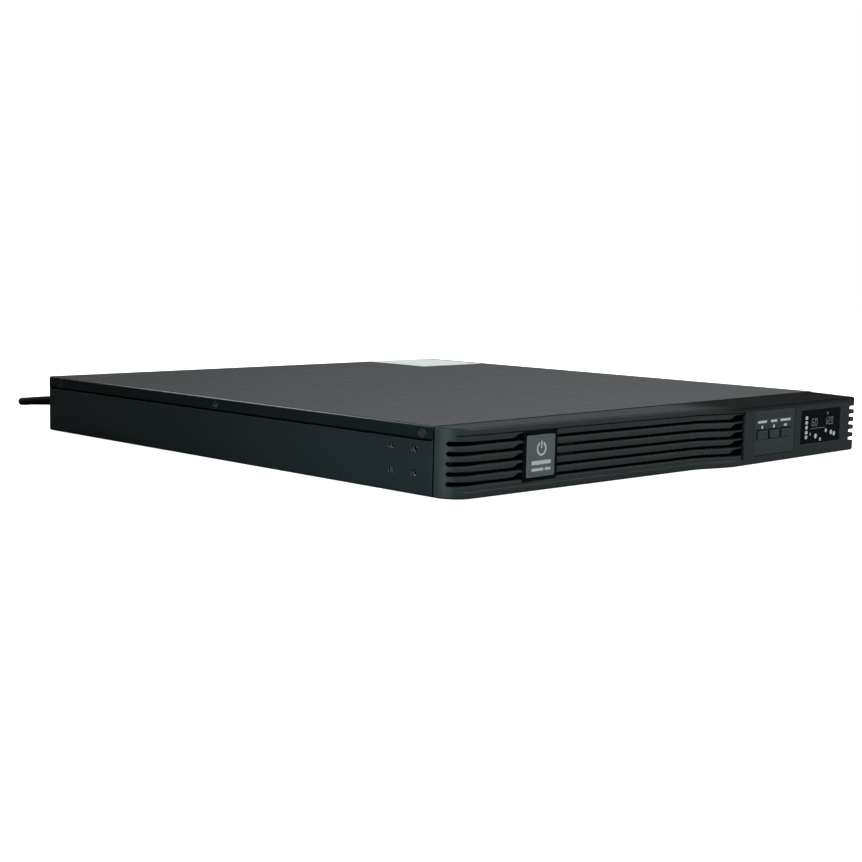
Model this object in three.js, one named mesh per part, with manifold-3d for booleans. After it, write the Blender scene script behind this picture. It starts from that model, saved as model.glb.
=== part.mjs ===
// A rack-mount uninterruptible power supply, one rack unit tall: a folded steel case with a moulded
// grille across its front, a control panel with a display, a battery drawer, the power electronics,
// two fans and a mains cord.
// Millimetres. X runs to the right as seen from the front, Y to the rear and Z up.
// The origin is the centre of the case's underside.
import * as THREE from "three";
import { mergeVertices } from "three/addons/utils/BufferGeometryUtils.js";
import Module from "manifold-3d";

// ---- Driving dimensions ----
const WIDTH = 438; // case and bezel, the width that fits a 19 inch rack
const HEIGHT = 43.5; // one rack unit less its clearance
const DEPTH = 432; // the steel case alone, without the bezel
const SHEET = 1.2; // steel sheet
const GAP = 0.3; // between pieces that rest on or in each other

const SEAM_Z = 33.8; // where the cover's side skirt ends
const FOLD = 1.5; // outer radius of a sheet fold
const COVER_SCREWS_Y = { front: 9.7, middle: 214, rear: 415.4 }; // behind the case's front edge
const COVER_SCREW_Z = 38.5;
const EAR_HOLES_Y = [15.6, 35.6]; // behind the case's front edge
const EAR_HOLES_Z = [13.3, 28.3];
const EAR_HOLE_R = 2.1;

// The bezel's plan: the face slopes from LEFT_FRONT to MIDDLE_FRONT, then steps out to RIGHT_FRONT.
// These are distances in front of the case.
const LEFT_FRONT = 19.1;
const MIDDLE_FRONT = 29.8;
const RIGHT_FRONT = 39.3;
const LEFT_CORNER = 16.5;
const RIGHT_CORNER = 3;
const STEP_START = 7;
const STEP_END = 54;
const BEZEL_BACK = 1; // gap to the case
const SHELL = 2.5; // bezel wall
const RIB_RECESS = 1; // the slats stand this far behind the strips above and below
const GRILLE = { bottom: 4.3, top: 38.7, right: 61 };
const SLOT = { low: 9.1, pitch: 6.1, count: 5, gap: 1.5, cornerGap: 3.2, sideEnd: 9 };
const FLARE = { length: 14, ramp: 7, rise: 2.6 }; // each slot opens upwards at its right-hand end
const CORNER_SLOTS_LEFT = 207;

const BADGE = { x: -144, z: 22, size: 26.4, depth: 4.6, border: 1.6 };

const FASCIA = { left: 74.5, right: 128.2, bottom: 5.8, top: 38.5 };
const LCD = { left: 137.6, right: 195.3, bottom: 10, top: 35 };
const BUTTON = { first: 84.4, pitch: 15.8, width: 12.6, height: 6.3, z: 20.65 };

const TRAY = { left: -208.5, right: -10.5, bottom: 2, depth: 305 };
const BATTERY = { length: 151, width: 94, height: 34 };
const DIVIDER_X = -8;
const LATCH_TABS_X = [-190, -50, 40, 207];
const THUMBSCREWS_X = { left: -212.4, right: -3.5 };
const THUMBSCREW_Z = 21;

const FAN = { size: 40, depth: 20, bore: 19, z: 21.6 };
const FANS_X = { left: 152, right: 194 };
const OUTLET = { width: 108, low: 7.5, high: 36, pitch: 36 };
const OUTLETS_X = { left: -96, right: 20 };
const BREAKER = { x: -170, z: 22 };
const CORD = { x: -196, z: 21, radius: 3.4 };
const PORTS_X = { usb: 88, network: 111 };
const BOARD = { left: 4, right: 214, front: 140, rear: 380, bottom: 7, thickness: 1.6 };

const FRONT = -DEPTH / 2;
const REAR = DEPTH / 2;
const ROUND = 20; // sides of a round hole or rod

// ---- Finishes ----
const finish = (color, roughness, metalness) =>
  new THREE.MeshStandardMaterial({ color, roughness, metalness });
const paintedSteel = () => finish(0x2a2b2d, 0.55, 0.3);
const zincSteel = () => finish(0x9a9c9e, 0.4, 0.8);
const blackScrew = () => finish(0x1c1d1e, 0.4, 0.7);
const mouldedPlastic = () => finish(0x2b2f31, 0.6, 0);
const blackPlastic = () => finish(0x161718, 0.5, 0);
const greyPlastic = () => finish(0x606468, 0.45, 0);
const circuitBoard = () => finish(0x1d4a2a, 0.5, 0.1);
const copper = () => finish(0xa6622d, 0.4, 0.8);
const aluminium = () => finish(0xb4b7ba, 0.35, 0.9);
const rubber = () => finish(0x141414, 0.8, 0);

// ---- Solids: three.js geometry, joined and cut with manifold-3d ----
const wasm = await Module();
wasm.setup();

function solidOf(geometry) {
  const bare = geometry.clone();
  bare.deleteAttribute("normal");
  bare.deleteAttribute("uv");
  const merged = mergeVertices(bare, 1e-4);
  const vertProperties = merged.attributes.position.array;
  const triVerts = new Uint32Array(merged.index.array);
  return new wasm.Manifold(new wasm.Mesh({ numProp: 3, vertProperties, triVerts }));
}

function geometryOf(solid) {
  const { vertProperties, triVerts } = solid.getMesh();
  const geometry = new THREE.BufferGeometry();
  geometry.setAttribute("position", new THREE.BufferAttribute(new Float32Array(vertProperties), 3));
  geometry.setIndex(new THREE.BufferAttribute(new Uint32Array(triVerts), 1));
  geometry.computeVertexNormals();
  return geometry;
}

const joined = (...solids) => solids.reduce((all, next) => all.add(next));
const cut = (base, ...tools) => tools.reduce((left, tool) => left.subtract(tool), base);

function block(x0, x1, y0, y1, z0, z1) {
  const box = new THREE.BoxGeometry(x1 - x0, y1 - y0, z1 - z0);
  return solidOf(box.translate((x0 + x1) / 2, (y0 + y1) / 2, (z0 + z1) / 2));
}

// Rods along each axis: the other two coordinates of the centre line come first.
function rodX(y, z, radius, x0, x1, sides = ROUND) {
  const rod = new THREE.CylinderGeometry(radius, radius, x1 - x0, sides);
  return solidOf(rod.rotateZ(Math.PI / 2).translate((x0 + x1) / 2, y, z));
}

function rodY(x, z, radius, y0, y1, sides = ROUND) {
  const rod = new THREE.CylinderGeometry(radius, radius, y1 - y0, sides);
  return solidOf(rod.translate(x, (y0 + y1) / 2, z));
}

function rodZ(x, y, radius, z0, z1, sides = ROUND) {
  const rod = new THREE.CylinderGeometry(radius, radius, z1 - z0, sides);
  return solidOf(rod.rotateX(Math.PI / 2).translate(x, y, (z0 + z1) / 2));
}

function shapeOf(points) {
  return new THREE.Shape(points.map(([u, v]) => new THREE.Vector2(u, v)));
}

// An outline drawn in plan (X, Y), standing from z0 to z1.
function standing(shape, z0, z1, curveSegments = 4) {
  const options = { depth: z1 - z0, bevelEnabled: false, curveSegments };
  return solidOf(new THREE.ExtrudeGeometry(shape, options).translate(0, 0, z0));
}

// A profile drawn from the front (X, Z), running from y0 to y1.
function alongY(shape, y0, y1, curveSegments = 2) {
  const options = { depth: y1 - y0, bevelEnabled: false, curveSegments };
  return solidOf(new THREE.ExtrudeGeometry(shape, options).rotateX(Math.PI / 2).translate(0, y1, 0));
}

// A profile drawn from the side (Y, Z), running from x0 to x1.
function alongX(shape, x0, x1) {
  const options = { depth: x1 - x0, bevelEnabled: false };
  const turn = new THREE.Matrix4().makeBasis(
    new THREE.Vector3(0, 1, 0),
    new THREE.Vector3(0, 0, 1),
    new THREE.Vector3(1, 0, 0),
  );
  return solidOf(new THREE.ExtrudeGeometry(shape, options).applyMatrix4(turn).translate(x0, 0, 0));
}

// A profile of [radius, height] points turned about Y.
function turned(points, sides = ROUND) {
  return solidOf(new THREE.LatheGeometry(points.map(([r, h]) => new THREE.Vector2(r, h)), sides));
}

function tube(points, radius, steps, sides) {
  const path = new THREE.CatmullRomCurve3(points.map(([x, y, z]) => new THREE.Vector3(x, y, z)));
  const ring = new THREE.Shape().absarc(0, 0, radius, 0, 2 * Math.PI);
  const options = { steps, curveSegments: sides / 2, extrudePath: path };
  return solidOf(new THREE.ExtrudeGeometry(ring, options));
}

function add(group, name, solid, material, x = 0, y = 0, z = 0) {
  const mesh = new THREE.Mesh(geometryOf(solid), material);
  mesh.name = name;
  mesh.position.set(x, y, z);
  group.add(mesh);
  return mesh;
}

function groupAt(parent, x, y, z) {
  const group = new THREE.Group();
  group.position.set(x, y, z);
  parent.add(group);
  return group;
}

// ---- Case: tray, cover, front and rear plates, divider, screws, label ----
// The upper part of each side wall steps in so that the cover's skirt lies flush with the lower part.
const STEP_IN = SHEET + 0.2;
const WALL_TOP = HEIGHT - SHEET - 0.4;

function trayProfile() {
  const half = WIDTH / 2;
  const wallTurn = SEAM_Z - 0.4;
  const shape = new THREE.Shape();
  shape.moveTo(-half + FOLD, 0);
  shape.lineTo(half - FOLD, 0);
  shape.absarc(half - FOLD, FOLD, FOLD, -Math.PI / 2, 0);
  shape.lineTo(half, wallTurn);
  shape.lineTo(half - STEP_IN, wallTurn);
  shape.lineTo(half - STEP_IN, WALL_TOP);
  shape.lineTo(half - STEP_IN - SHEET, WALL_TOP);
  shape.lineTo(half - STEP_IN - SHEET, wallTurn - SHEET);
  shape.lineTo(half - SHEET, wallTurn - SHEET);
  shape.lineTo(half - SHEET, SHEET);
  shape.lineTo(-half + SHEET, SHEET);
  shape.lineTo(-half + SHEET, wallTurn - SHEET);
  shape.lineTo(-half + STEP_IN + SHEET, wallTurn - SHEET);
  shape.lineTo(-half + STEP_IN + SHEET, WALL_TOP);
  shape.lineTo(-half + STEP_IN, WALL_TOP);
  shape.lineTo(-half + STEP_IN, wallTurn);
  shape.lineTo(-half, wallTurn);
  shape.lineTo(-half, FOLD);
  shape.absarc(-half + FOLD, FOLD, FOLD, Math.PI, 1.5 * Math.PI);
  return shape;
}

function chassisTray() {
  const reach = WIDTH; // long enough to pass through both side walls
  const screwHoleR = 1.9;
  const standoffR = 3;
  const inFromEdge = 9;
  let tray = alongY(trayProfile(), 0, DEPTH);
  for (const y of EAR_HOLES_Y)
    for (const z of EAR_HOLES_Z) tray = cut(tray, rodX(y, z, EAR_HOLE_R, -reach, reach, 12));
  for (const y of Object.values(COVER_SCREWS_Y))
    tray = cut(tray, rodX(y, COVER_SCREW_Z, screwHoleR, -reach, reach, 8));
  for (const x of [BOARD.left + inFromEdge, BOARD.right - inFromEdge])
    for (const y of [BOARD.front + inFromEdge, BOARD.rear - inFromEdge])
      tray = joined(tray, rodZ(x, y, standoffR, SHEET / 2, BOARD.bottom - GAP, 8));
  return tray;
}

function coverProfile() {
  const half = WIDTH / 2;
  const under = HEIGHT - SHEET;
  const shape = new THREE.Shape();
  shape.moveTo(half, SEAM_Z);
  shape.lineTo(half, HEIGHT - FOLD);
  shape.absarc(half - FOLD, HEIGHT - FOLD, FOLD, 0, Math.PI / 2);
  shape.lineTo(-half + FOLD, HEIGHT);
  shape.absarc(-half + FOLD, HEIGHT - FOLD, FOLD, Math.PI / 2, Math.PI);
  shape.lineTo(-half, SEAM_Z);
  shape.lineTo(-half + SHEET, SEAM_Z);
  shape.lineTo(-half + SHEET, under);
  shape.lineTo(half - SHEET, under);
  shape.lineTo(half - SHEET, SEAM_Z);
  return shape;
}

const SCREW = { head: 3, sunk: 0.1, headDepth: 1, shaft: 1.4, length: 4.6 };
const CENTRE_SCREW = { x: 1.5, y: 151 };

function topCover() {
  const headHoleR = SCREW.head + 0.3;
  let cover = alongY(coverProfile(), 0, DEPTH);
  for (const y of Object.values(COVER_SCREWS_Y))
    cover = cut(cover, rodX(y, COVER_SCREW_Z, headHoleR, -WIDTH, WIDTH, 12));
  return cut(cover, rodZ(CENTRE_SCREW.x, CENTRE_SCREW.y, headHoleR, HEIGHT / 2, 2 * HEIGHT, 12));
}

// A countersunk screw with a cross recess, its head's face at the origin and its shaft along -Y.
function coverScrew() {
  const face = -SCREW.sunk;
  const under = face - SCREW.headDepth;
  const cross = { arm: 1.9, half: 0.4, deep: 0.6 };
  const screw = turned(
    [
      [0, -SCREW.length],
      [SCREW.shaft, -SCREW.length],
      [SCREW.shaft, under],
      [SCREW.head, under + 0.3],
      [SCREW.head, face],
      [0, face],
    ],
    12,
  );
  const slot = block(-cross.arm, cross.arm, face - cross.deep, 1, -cross.half, cross.half);
  const otherSlot = block(-cross.half, cross.half, face - cross.deep, 1, -cross.arm, cross.arm);
  return cut(screw, slot, otherSlot);
}

function addCoverScrews(group) {
  for (const [place, y] of Object.entries(COVER_SCREWS_Y)) {
    const left = add(group, `cover_screw_left_${place}`, coverScrew(), blackScrew());
    left.position.set(-WIDTH / 2, y, COVER_SCREW_Z);
    left.rotation.z = Math.PI / 2;
    const right = add(group, `cover_screw_right_${place}`, coverScrew(), blackScrew());
    right.position.set(WIDTH / 2, y, COVER_SCREW_Z);
    right.rotation.z = -Math.PI / 2;
  }
  const centre = add(group, "cover_screw_centre", coverScrew(), blackScrew());
  centre.position.set(CENTRE_SCREW.x, CENTRE_SCREW.y, HEIGHT);
  centre.rotation.x = Math.PI / 2;
}

const PLATE_HALF = WIDTH / 2 - STEP_IN - SHEET - 0.2; // front and rear plates fit between the walls
const PLATE_LOW = SHEET + 0.2;
const RIBBON = { left: 84, right: 100, low: 8, high: 32 };

function frontPlate() {
  const bay = { left: TRAY.left - 0.7, right: TRAY.right + 0.7, top: 38 };
  const tab = { half: 6.5, low: 39.3, high: 41.5 };
  const vent = { first: 6, pitch: 7, count: 8, width: 4, low: 8, high: 35 };
  const through = 3;
  let plate = block(-PLATE_HALF, PLATE_HALF, 0, SHEET, PLATE_LOW, WALL_TOP);
  plate = cut(plate, block(bay.left, bay.right, -through, through, 0, bay.top));
  for (const x of LATCH_TABS_X)
    plate = cut(plate, block(x - tab.half, x + tab.half, -through, through, tab.low, tab.high));
  for (const x of Object.values(THUMBSCREWS_X))
    plate = cut(plate, rodY(x, THUMBSCREW_Z, 1.8, -through, through, 12));
  for (let i = 0; i < vent.count; i++) {
    const x = vent.first + i * vent.pitch;
    plate = cut(plate, block(x, x + vent.width, -through, through, vent.low, vent.high));
  }
  const slot = block(RIBBON.left - 2, RIBBON.right + 2, -through, through, RIBBON.low, RIBBON.high);
  return cut(plate, slot);
}

function rearPanel() {
  const through = 4;
  const slack = 0.4;
  const hole = (x0, x1, z0, z1) =>
    block(x0 - slack, x1 + slack, -through, through, z0 - slack, z1 + slack);
  let panel = block(-PLATE_HALF, PLATE_HALF, -SHEET, 0, PLATE_LOW, WALL_TOP);
  for (const x of Object.values(OUTLETS_X))
    panel = cut(panel, hole(x - OUTLET.width / 2, x + OUTLET.width / 2, OUTLET.low, OUTLET.high));
  for (const x of Object.values(FANS_X))
    panel = cut(panel, rodY(x, FAN.z, FAN.bore - 0.5, -through, through, 32));
  panel = cut(panel, rodY(BREAKER.x, BREAKER.z, BREAKER_BUSH.radius + slack, -through, through));
  panel = cut(panel, rodY(CORD.x, CORD.z, RELIEF.neck + slack, -through, through));
  panel = cut(panel, rodY(GROUND.x, GROUND.z, GROUND.shaft + slack, -through, through, 12));
  panel = cut(panel, hole(NETWORK.left, NETWORK.right, NETWORK.low, NETWORK.high));
  panel = cut(panel, hole(USB.left, USB.right, USB.low, USB.high));
  return cut(panel, hole(REMOTE.left, REMOTE.right, REMOTE.low, REMOTE.high));
}

function bayDivider() {
  const end = 330;
  const flange = { right: 7, thick: SHEET };
  const top = WALL_TOP;
  const start = SHEET + GAP;
  const wall = block(DIVIDER_X, DIVIDER_X + SHEET, start, end, PLATE_LOW, top);
  const foot = block(DIVIDER_X, flange.right, start, end, PLATE_LOW, PLATE_LOW + flange.thick);
  const head = block(DIVIDER_X, flange.right, start, end, top - flange.thick, top);
  const screwHole = rodZ(CENTRE_SCREW.x, CENTRE_SCREW.y, 1.9, top - 2 * SHEET, HEIGHT, 12);
  return cut(joined(wall, foot, head), screwHole);
}

function topLabel() {
  const label = { left: 130, right: 209, front: 355, rear: 428, lift: 0.05, thick: 0.2 };
  const low = HEIGHT + label.lift;
  return block(label.left, label.right, label.front, label.rear, low, low + label.thick);
}

// ---- Bezel: a moulded shell with a slatted grille ----
// How far in front of the case the bezel's outer face stands at x, away from the corners.
function faceAt(x) {
  const slope = (MIDDLE_FRONT - LEFT_FRONT) / (STEP_START + WIDTH / 2 - LEFT_CORNER);
  if (x <= STEP_START) return MIDDLE_FRONT + slope * (x - STEP_START);
  const t = Math.min(1, (x - STEP_START) / (STEP_END - STEP_START));
  return MIDDLE_FRONT + ((RIGHT_FRONT - MIDDLE_FRONT) * (1 - Math.cos(Math.PI * t))) / 2;
}

function bezelOutline(inset, back) {
  const half = WIDTH / 2;
  const stepPoints = 6;
  const leftCentre = [-half + LEFT_CORNER, LEFT_CORNER - LEFT_FRONT];
  const rightCentre = [half - RIGHT_CORNER, RIGHT_CORNER - RIGHT_FRONT];
  const shape = new THREE.Shape();
  shape.moveTo(-half + inset, back);
  shape.lineTo(-half + inset, leftCentre[1]);
  shape.absarc(...leftCentre, LEFT_CORNER - inset, Math.PI, 1.5 * Math.PI);
  for (let i = 0; i <= stepPoints; i++) {
    const x = STEP_START + ((STEP_END - STEP_START) * i) / stepPoints;
    shape.lineTo(x, inset - faceAt(x));
  }
  shape.lineTo(rightCentre[0], inset - RIGHT_FRONT);
  shape.absarc(...rightCentre, RIGHT_CORNER - inset, 1.5 * Math.PI, 2 * Math.PI);
  shape.lineTo(half - inset, back);
  return shape;
}

function bezelSlots() {
  const clear = 10; // past the outside of the shell
  const badgeHalf = BADGE.size / 2 + BADGE.border;
  const front = -RIGHT_FRONT - clear;
  const runs = [
    [-WIDTH / 2 - clear, BADGE.x - badgeHalf, -SLOT.sideEnd, SLOT.gap],
    [BADGE.x + badgeHalf, GRILLE.right, -LEFT_FRONT + 2 * SHELL, SLOT.gap],
    [CORNER_SLOTS_LEFT, WIDTH / 2 + clear, -SLOT.sideEnd, SLOT.cornerGap],
  ];
  const cutters = [];
  for (let i = 0; i < SLOT.count; i++) {
    const z = SLOT.low + i * SLOT.pitch;
    const top = z + SLOT.gap / 2;
    for (const [x0, x1, back, gap] of runs)
      cutters.push(block(x0, x1, front, back, z - gap / 2, z + gap / 2));
    for (const end of [BADGE.x - badgeHalf, GRILLE.right]) {
      const start = end - FLARE.length;
      const crest = top + FLARE.rise;
      const wedge = shapeOf([[start, z], [end, z], [end, crest], [start + FLARE.ramp, crest], [start, top]]);
      cutters.push(alongY(wedge, front, -LEFT_FRONT + 2 * SHELL));
    }
  }
  return joined(...cutters);
}

function frontBezel() {
  const clear = 10;
  const front = -RIGHT_FRONT - clear;
  const badgeHalf = BADGE.size / 2 + BADGE.border;
  const pocketFloor = BADGE.depth - faceAt(BADGE.x) + GAP;
  const backing = { side: 3, thick: 2 };
  const opening = 0.3;

  const outer = standing(bezelOutline(0, -BEZEL_BACK), 0, HEIGHT);
  const cavity = standing(bezelOutline(SHELL, clear), SHELL, HEIGHT - SHELL);
  const slats = standing(bezelOutline(RIB_RECESS, clear), 0, HEIGHT);
  const grilleZone = block(-WIDTH / 2 + LEFT_CORNER - 4, GRILLE.right, front, 0, GRILLE.bottom, GRILLE.top);
  let bezel = cut(outer, cavity, grilleZone.subtract(slats), bezelSlots());

  const pocketSide = badgeHalf + backing.side;
  const boss = block(
    BADGE.x - pocketSide,
    BADGE.x + pocketSide,
    1 - faceAt(BADGE.x) + RIB_RECESS,
    pocketFloor + backing.thick,
    BADGE.z - pocketSide,
    BADGE.z + pocketSide,
  );
  const pocket = block(
    BADGE.x - badgeHalf,
    BADGE.x + badgeHalf,
    front,
    pocketFloor,
    BADGE.z - badgeHalf,
    BADGE.z + badgeHalf,
  );
  bezel = cut(joined(bezel, boss), pocket);

  const post = { half: 0.8, deep: 4, bite: 0.6 };
  for (const x of [-180, -105, -70, -35, 0, 36]) {
    const inner = SHELL - faceAt(x);
    const standingPost = block(
      x - post.half,
      x + post.half,
      inner - post.bite,
      inner + post.deep,
      SHELL - 0.5,
      HEIGHT - SHELL + 0.5,
    );
    bezel = joined(bezel, standingPost);
  }

  const windowCut = (area) =>
    block(
      area.left - opening,
      area.right + opening,
      front,
      -MIDDLE_FRONT,
      area.bottom - opening,
      area.top + opening,
    );
  bezel = cut(bezel, windowCut(FASCIA), windowCut(LCD));

  const tab = { half: 6, low: 39.6, high: 41.3, front: -10, rear: 5 };
  for (const x of LATCH_TABS_X)
    bezel = joined(bezel, block(x - tab.half, x + tab.half, tab.front, tab.rear, tab.low, tab.high));
  return bezel;
}

function badgePlate() {
  const half = BADGE.size / 2;
  const icon = { radius: 5, z: 4, raise: 0.3 };
  const plate = block(-half, half, 0, BADGE.depth, -half, half);
  const disc = rodY(0, icon.z, icon.radius, -icon.raise, 1, 24);
  return joined(plate, disc);
}

// ---- Control panel, which stays on the case and shows through the bezel's windows ----
const FASCIA_FRONT = 0.2 - RIGHT_FRONT;
const FASCIA_BACK = FASCIA_FRONT + 2.9;

function controlHousing() {
  const box = { left: 70, right: 198, front: FASCIA_BACK + 0.3, back: -0.6, bottom: 3.4, top: 40, wall: 1.8 };
  const outer = block(box.left, box.right, box.front, box.back, box.bottom, box.top);
  const hollow = block(
    box.left + box.wall,
    box.right - box.wall,
    box.front - 1,
    box.back - box.wall,
    box.bottom + box.wall,
    box.top - box.wall,
  );
  const slot = block(RIBBON.left - 2, RIBBON.right + 2, -10, 10, RIBBON.low, RIBBON.high);
  return cut(outer, hollow, slot);
}

const buttonX = (index) => BUTTON.first + index * BUTTON.pitch;

function controlFascia() {
  const slack = 0.35;
  const halfWidth = BUTTON.width / 2 + slack;
  const halfHeight = BUTTON.height / 2 + slack;
  let plate = block(FASCIA.left, FASCIA.right, FASCIA_FRONT, FASCIA_BACK, FASCIA.bottom, FASCIA.top);
  for (let i = 0; i < 3; i++) {
    const x = buttonX(i);
    const low = BUTTON.z - halfHeight;
    const high = BUTTON.z + halfHeight;
    plate = cut(plate, block(x - halfWidth, x + halfWidth, 2 * FASCIA_FRONT, 0, low, high));
  }
  return plate;
}

// A key cap with a flange that keeps it behind the fascia, and a stem towards its switch.
function panelButton() {
  const cap = { front: FASCIA_FRONT - 0.5, back: FASCIA_FRONT + 4.4 };
  const flange = { front: FASCIA_BACK + 0.3, margin: 1.1 };
  const stem = { half: 2, back: cap.back + 1.8 };
  const halfWidth = BUTTON.width / 2;
  const halfHeight = BUTTON.height / 2;
  return joined(
    block(-halfWidth, halfWidth, cap.front, cap.back, -halfHeight, halfHeight),
    block(
      -halfWidth - flange.margin,
      halfWidth + flange.margin,
      flange.front,
      cap.back,
      -halfHeight - flange.margin,
      halfHeight + flange.margin,
    ),
    block(-stem.half, stem.half, cap.back - 1, stem.back, -stem.half, stem.half),
  );
}

function lcdWindow() {
  const pane = { front: FASCIA_FRONT + 0.2, back: FASCIA_FRONT + 2 };
  return block(LCD.left, LCD.right, pane.front, pane.back, LCD.bottom, LCD.top);
}

function lcdPanel() {
  const panel = { inset: 0.6, front: FASCIA_FRONT + 2.3, back: FASCIA_FRONT + 5.3 };
  return block(
    LCD.left + panel.inset,
    LCD.right - panel.inset,
    panel.front,
    panel.back,
    LCD.bottom + panel.inset,
    LCD.top - panel.inset,
  );
}

// The display's circuit board with the three push switches soldered to it.
function displayBoard() {
  const board = { left: 72.2, right: 195.8, bottom: 5.6, top: 37.8 };
  board.front = FASCIA_FRONT + 9.4;
  board.back = board.front + 1.6;
  const key = { half: 3, front: board.front - 1.9 };
  let made = block(board.left, board.right, board.front, board.back, board.bottom, board.top);
  for (let i = 0; i < 3; i++) {
    const x = buttonX(i);
    const low = BUTTON.z - key.half;
    const high = BUTTON.z + key.half;
    made = joined(made, block(x - key.half, x + key.half, key.front, board.front + 0.5, low, high));
  }
  return made;
}

function displayRibbon() {
  const thick = 0.6;
  const line = [
    [FASCIA_FRONT + 11.3, 26],
    [-12, 24],
    [0, 20],
    [60, 14],
    [130, 10.6],
    [150, 9.2],
  ];
  const under = [...line].reverse();
  const outline = [...under, ...line.map(([y, z]) => [y, z + thick])];
  return alongX(shapeOf(outline), RIBBON.left, RIBBON.right);
}

// ---- Battery drawer ----
function batteryTray() {
  const wall = { thick: 1, top: 28 };
  const plate = { left: -216, right: 0.5, front: -2, back: -0.5, bottom: 2.9, top: 38.9 };
  const floorTop = TRAY.bottom + SHEET;
  const start = -0.9;
  const rearWall = TRAY.depth - SHEET;
  let tray = joined(
    block(TRAY.left, TRAY.right, start, TRAY.depth, TRAY.bottom, floorTop),
    block(TRAY.left, TRAY.left + wall.thick, start, TRAY.depth, TRAY.bottom, wall.top),
    block(TRAY.right - wall.thick, TRAY.right, start, TRAY.depth, TRAY.bottom, wall.top),
    block(TRAY.left, TRAY.right, rearWall, TRAY.depth, TRAY.bottom, wall.top),
    block(plate.left, plate.right, plate.front, plate.back, plate.bottom, plate.top),
  );
  for (const x of Object.values(THUMBSCREWS_X))
    tray = cut(tray, rodY(x, THUMBSCREW_Z, 1.8, -5, 0, 12));
  return tray;
}

// A sealed battery lying on its side: case, slightly smaller lid, and two tab terminals on the lid.
// Its terminals point along +X, and tabsY holds their places along the lid.
function batteryBlock(tabsY) {
  const lid = { start: 86, shy: 0.7 };
  const tab = { half: 3.2, thick: 0.8, reach: 5, z: 27 };
  let made = joined(
    block(0, lid.start, 0, BATTERY.length, 0, BATTERY.height),
    block(lid.start - 1, BATTERY.width, lid.shy, BATTERY.length - lid.shy, lid.shy, BATTERY.height - lid.shy),
  );
  for (const y of tabsY) {
    const end = BATTERY.width + tab.reach;
    const top = tab.z + tab.thick;
    made = joined(made, block(BATTERY.width - 1, end, y - tab.half, y + tab.half, tab.z, top));
  }
  return made;
}

function addBatteryBlocks(drawer) {
  const floor = TRAY.bottom + SHEET + 0.1;
  const sideGap = 1.3;
  const rows = { front: 1, rear: 1 + BATTERY.length + 0.5 };
  for (const [row, y] of Object.entries(rows)) {
    const left = batteryBlock([20, 130]);
    add(drawer, `battery_${row}_left`, left, blackPlastic(), TRAY.left + sideGap, y, floor);
    const right = add(drawer, `battery_${row}_right`, batteryBlock([35, 115]), blackPlastic());
    right.position.set(TRAY.right - sideGap, y + BATTERY.length, floor);
    right.rotation.z = Math.PI;
  }
}

// A captive screw with a fluted head; its shaft runs along +Y into the front plate.
function thumbscrew() {
  const head = { radius: 3, front: -7.2, back: -2.3, flutes: 10, fluteR: 0.45 };
  const shaft = { radius: 1.4, back: 6 };
  let screw = rodY(0, 0, head.radius, head.front, head.back, 20);
  for (let i = 0; i < head.flutes; i++) {
    const angle = (2 * Math.PI * i) / head.flutes;
    const x = head.radius * Math.cos(angle);
    const z = head.radius * Math.sin(angle);
    screw = cut(screw, rodY(x, z, head.fluteR, head.front - 1, head.back + 1, 6));
  }
  return joined(screw, rodY(0, 0, shaft.radius, head.back - 1, shaft.back, 12));
}

const DRAWER_MIDDLE_X = (TRAY.left + TRAY.right) / 2;

function pullHandle() {
  const grip = { half: 17, leg: 3, front: -12, thick: 2.6, back: -2.2, low: 16, high: 26 };
  return joined(
    block(-grip.half, grip.half, grip.front, grip.front + grip.thick, grip.low, grip.high),
    block(-grip.half, -grip.half + grip.leg, grip.front, grip.back, grip.low, grip.high),
    block(grip.half - grip.leg, grip.half, grip.front, grip.back, grip.low, grip.high),
  );
}

function batteryPlug() {
  const plug = { half: 16, front: TRAY.depth + 0.1, back: TRAY.depth + 12, low: 9, high: 25 };
  return block(-plug.half, plug.half, plug.front, plug.back, plug.low, plug.high);
}

function batterySocket() {
  const socket = { half: 18, front: TRAY.depth + 12.5, back: TRAY.depth + 27, low: 7, high: 27 };
  const foot = { half: 24, top: 3 };
  const low = SHEET + 0.1;
  return joined(
    block(-socket.half, socket.half, socket.front, socket.back, low, socket.high),
    block(-foot.half, foot.half, socket.front + 2, socket.back, low, foot.top),
  );
}

function batteryCable() {
  const start = TRAY.depth + 28;
  return tube(
    [
      [DRAWER_MIDDLE_X, start, 16],
      [DRAWER_MIDDLE_X + 4, start + 14, 16],
      [DRAWER_MIDDLE_X + 50, start + 20, 14],
      [-12, start + 18, 14],
      [12, start + 14, 12],
    ],
    2.5,
    16,
    6,
  );
}

// ---- Power electronics ----
function mainBoard() {
  return block(
    BOARD.left,
    BOARD.right,
    BOARD.front,
    BOARD.rear,
    BOARD.bottom,
    BOARD.bottom + BOARD.thickness,
  );
}

const BOARD_TOP = BOARD.bottom + BOARD.thickness + GAP;

// The laminated core lies flat: a middle leg between two windows, on four feet.
const CORE = { halfX: 46, halfY: 38, leg: 15, windowX: 31, windowY: 23, low: 6, high: 36 };

function transformerCore() {
  const foot = { x: 38, y: 32, half: 5, bottom: SHEET + 0.2 };
  const { halfX, halfY, leg, windowX, windowY, low, high } = CORE;
  let core = block(-halfX, halfX, -halfY, halfY, low, high);
  core = cut(core, block(leg, windowX, -windowY, windowY, low - 1, high + 1));
  core = cut(core, block(-windowX, -leg, -windowY, windowY, low - 1, high + 1));
  for (const x of [-foot.x, foot.x])
    for (const y of [-foot.y, foot.y]) {
      const leg4 = block(x - foot.half, x + foot.half, y - foot.half, y + foot.half, foot.bottom, low + 1);
      core = joined(core, leg4);
    }
  return core;
}

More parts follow.
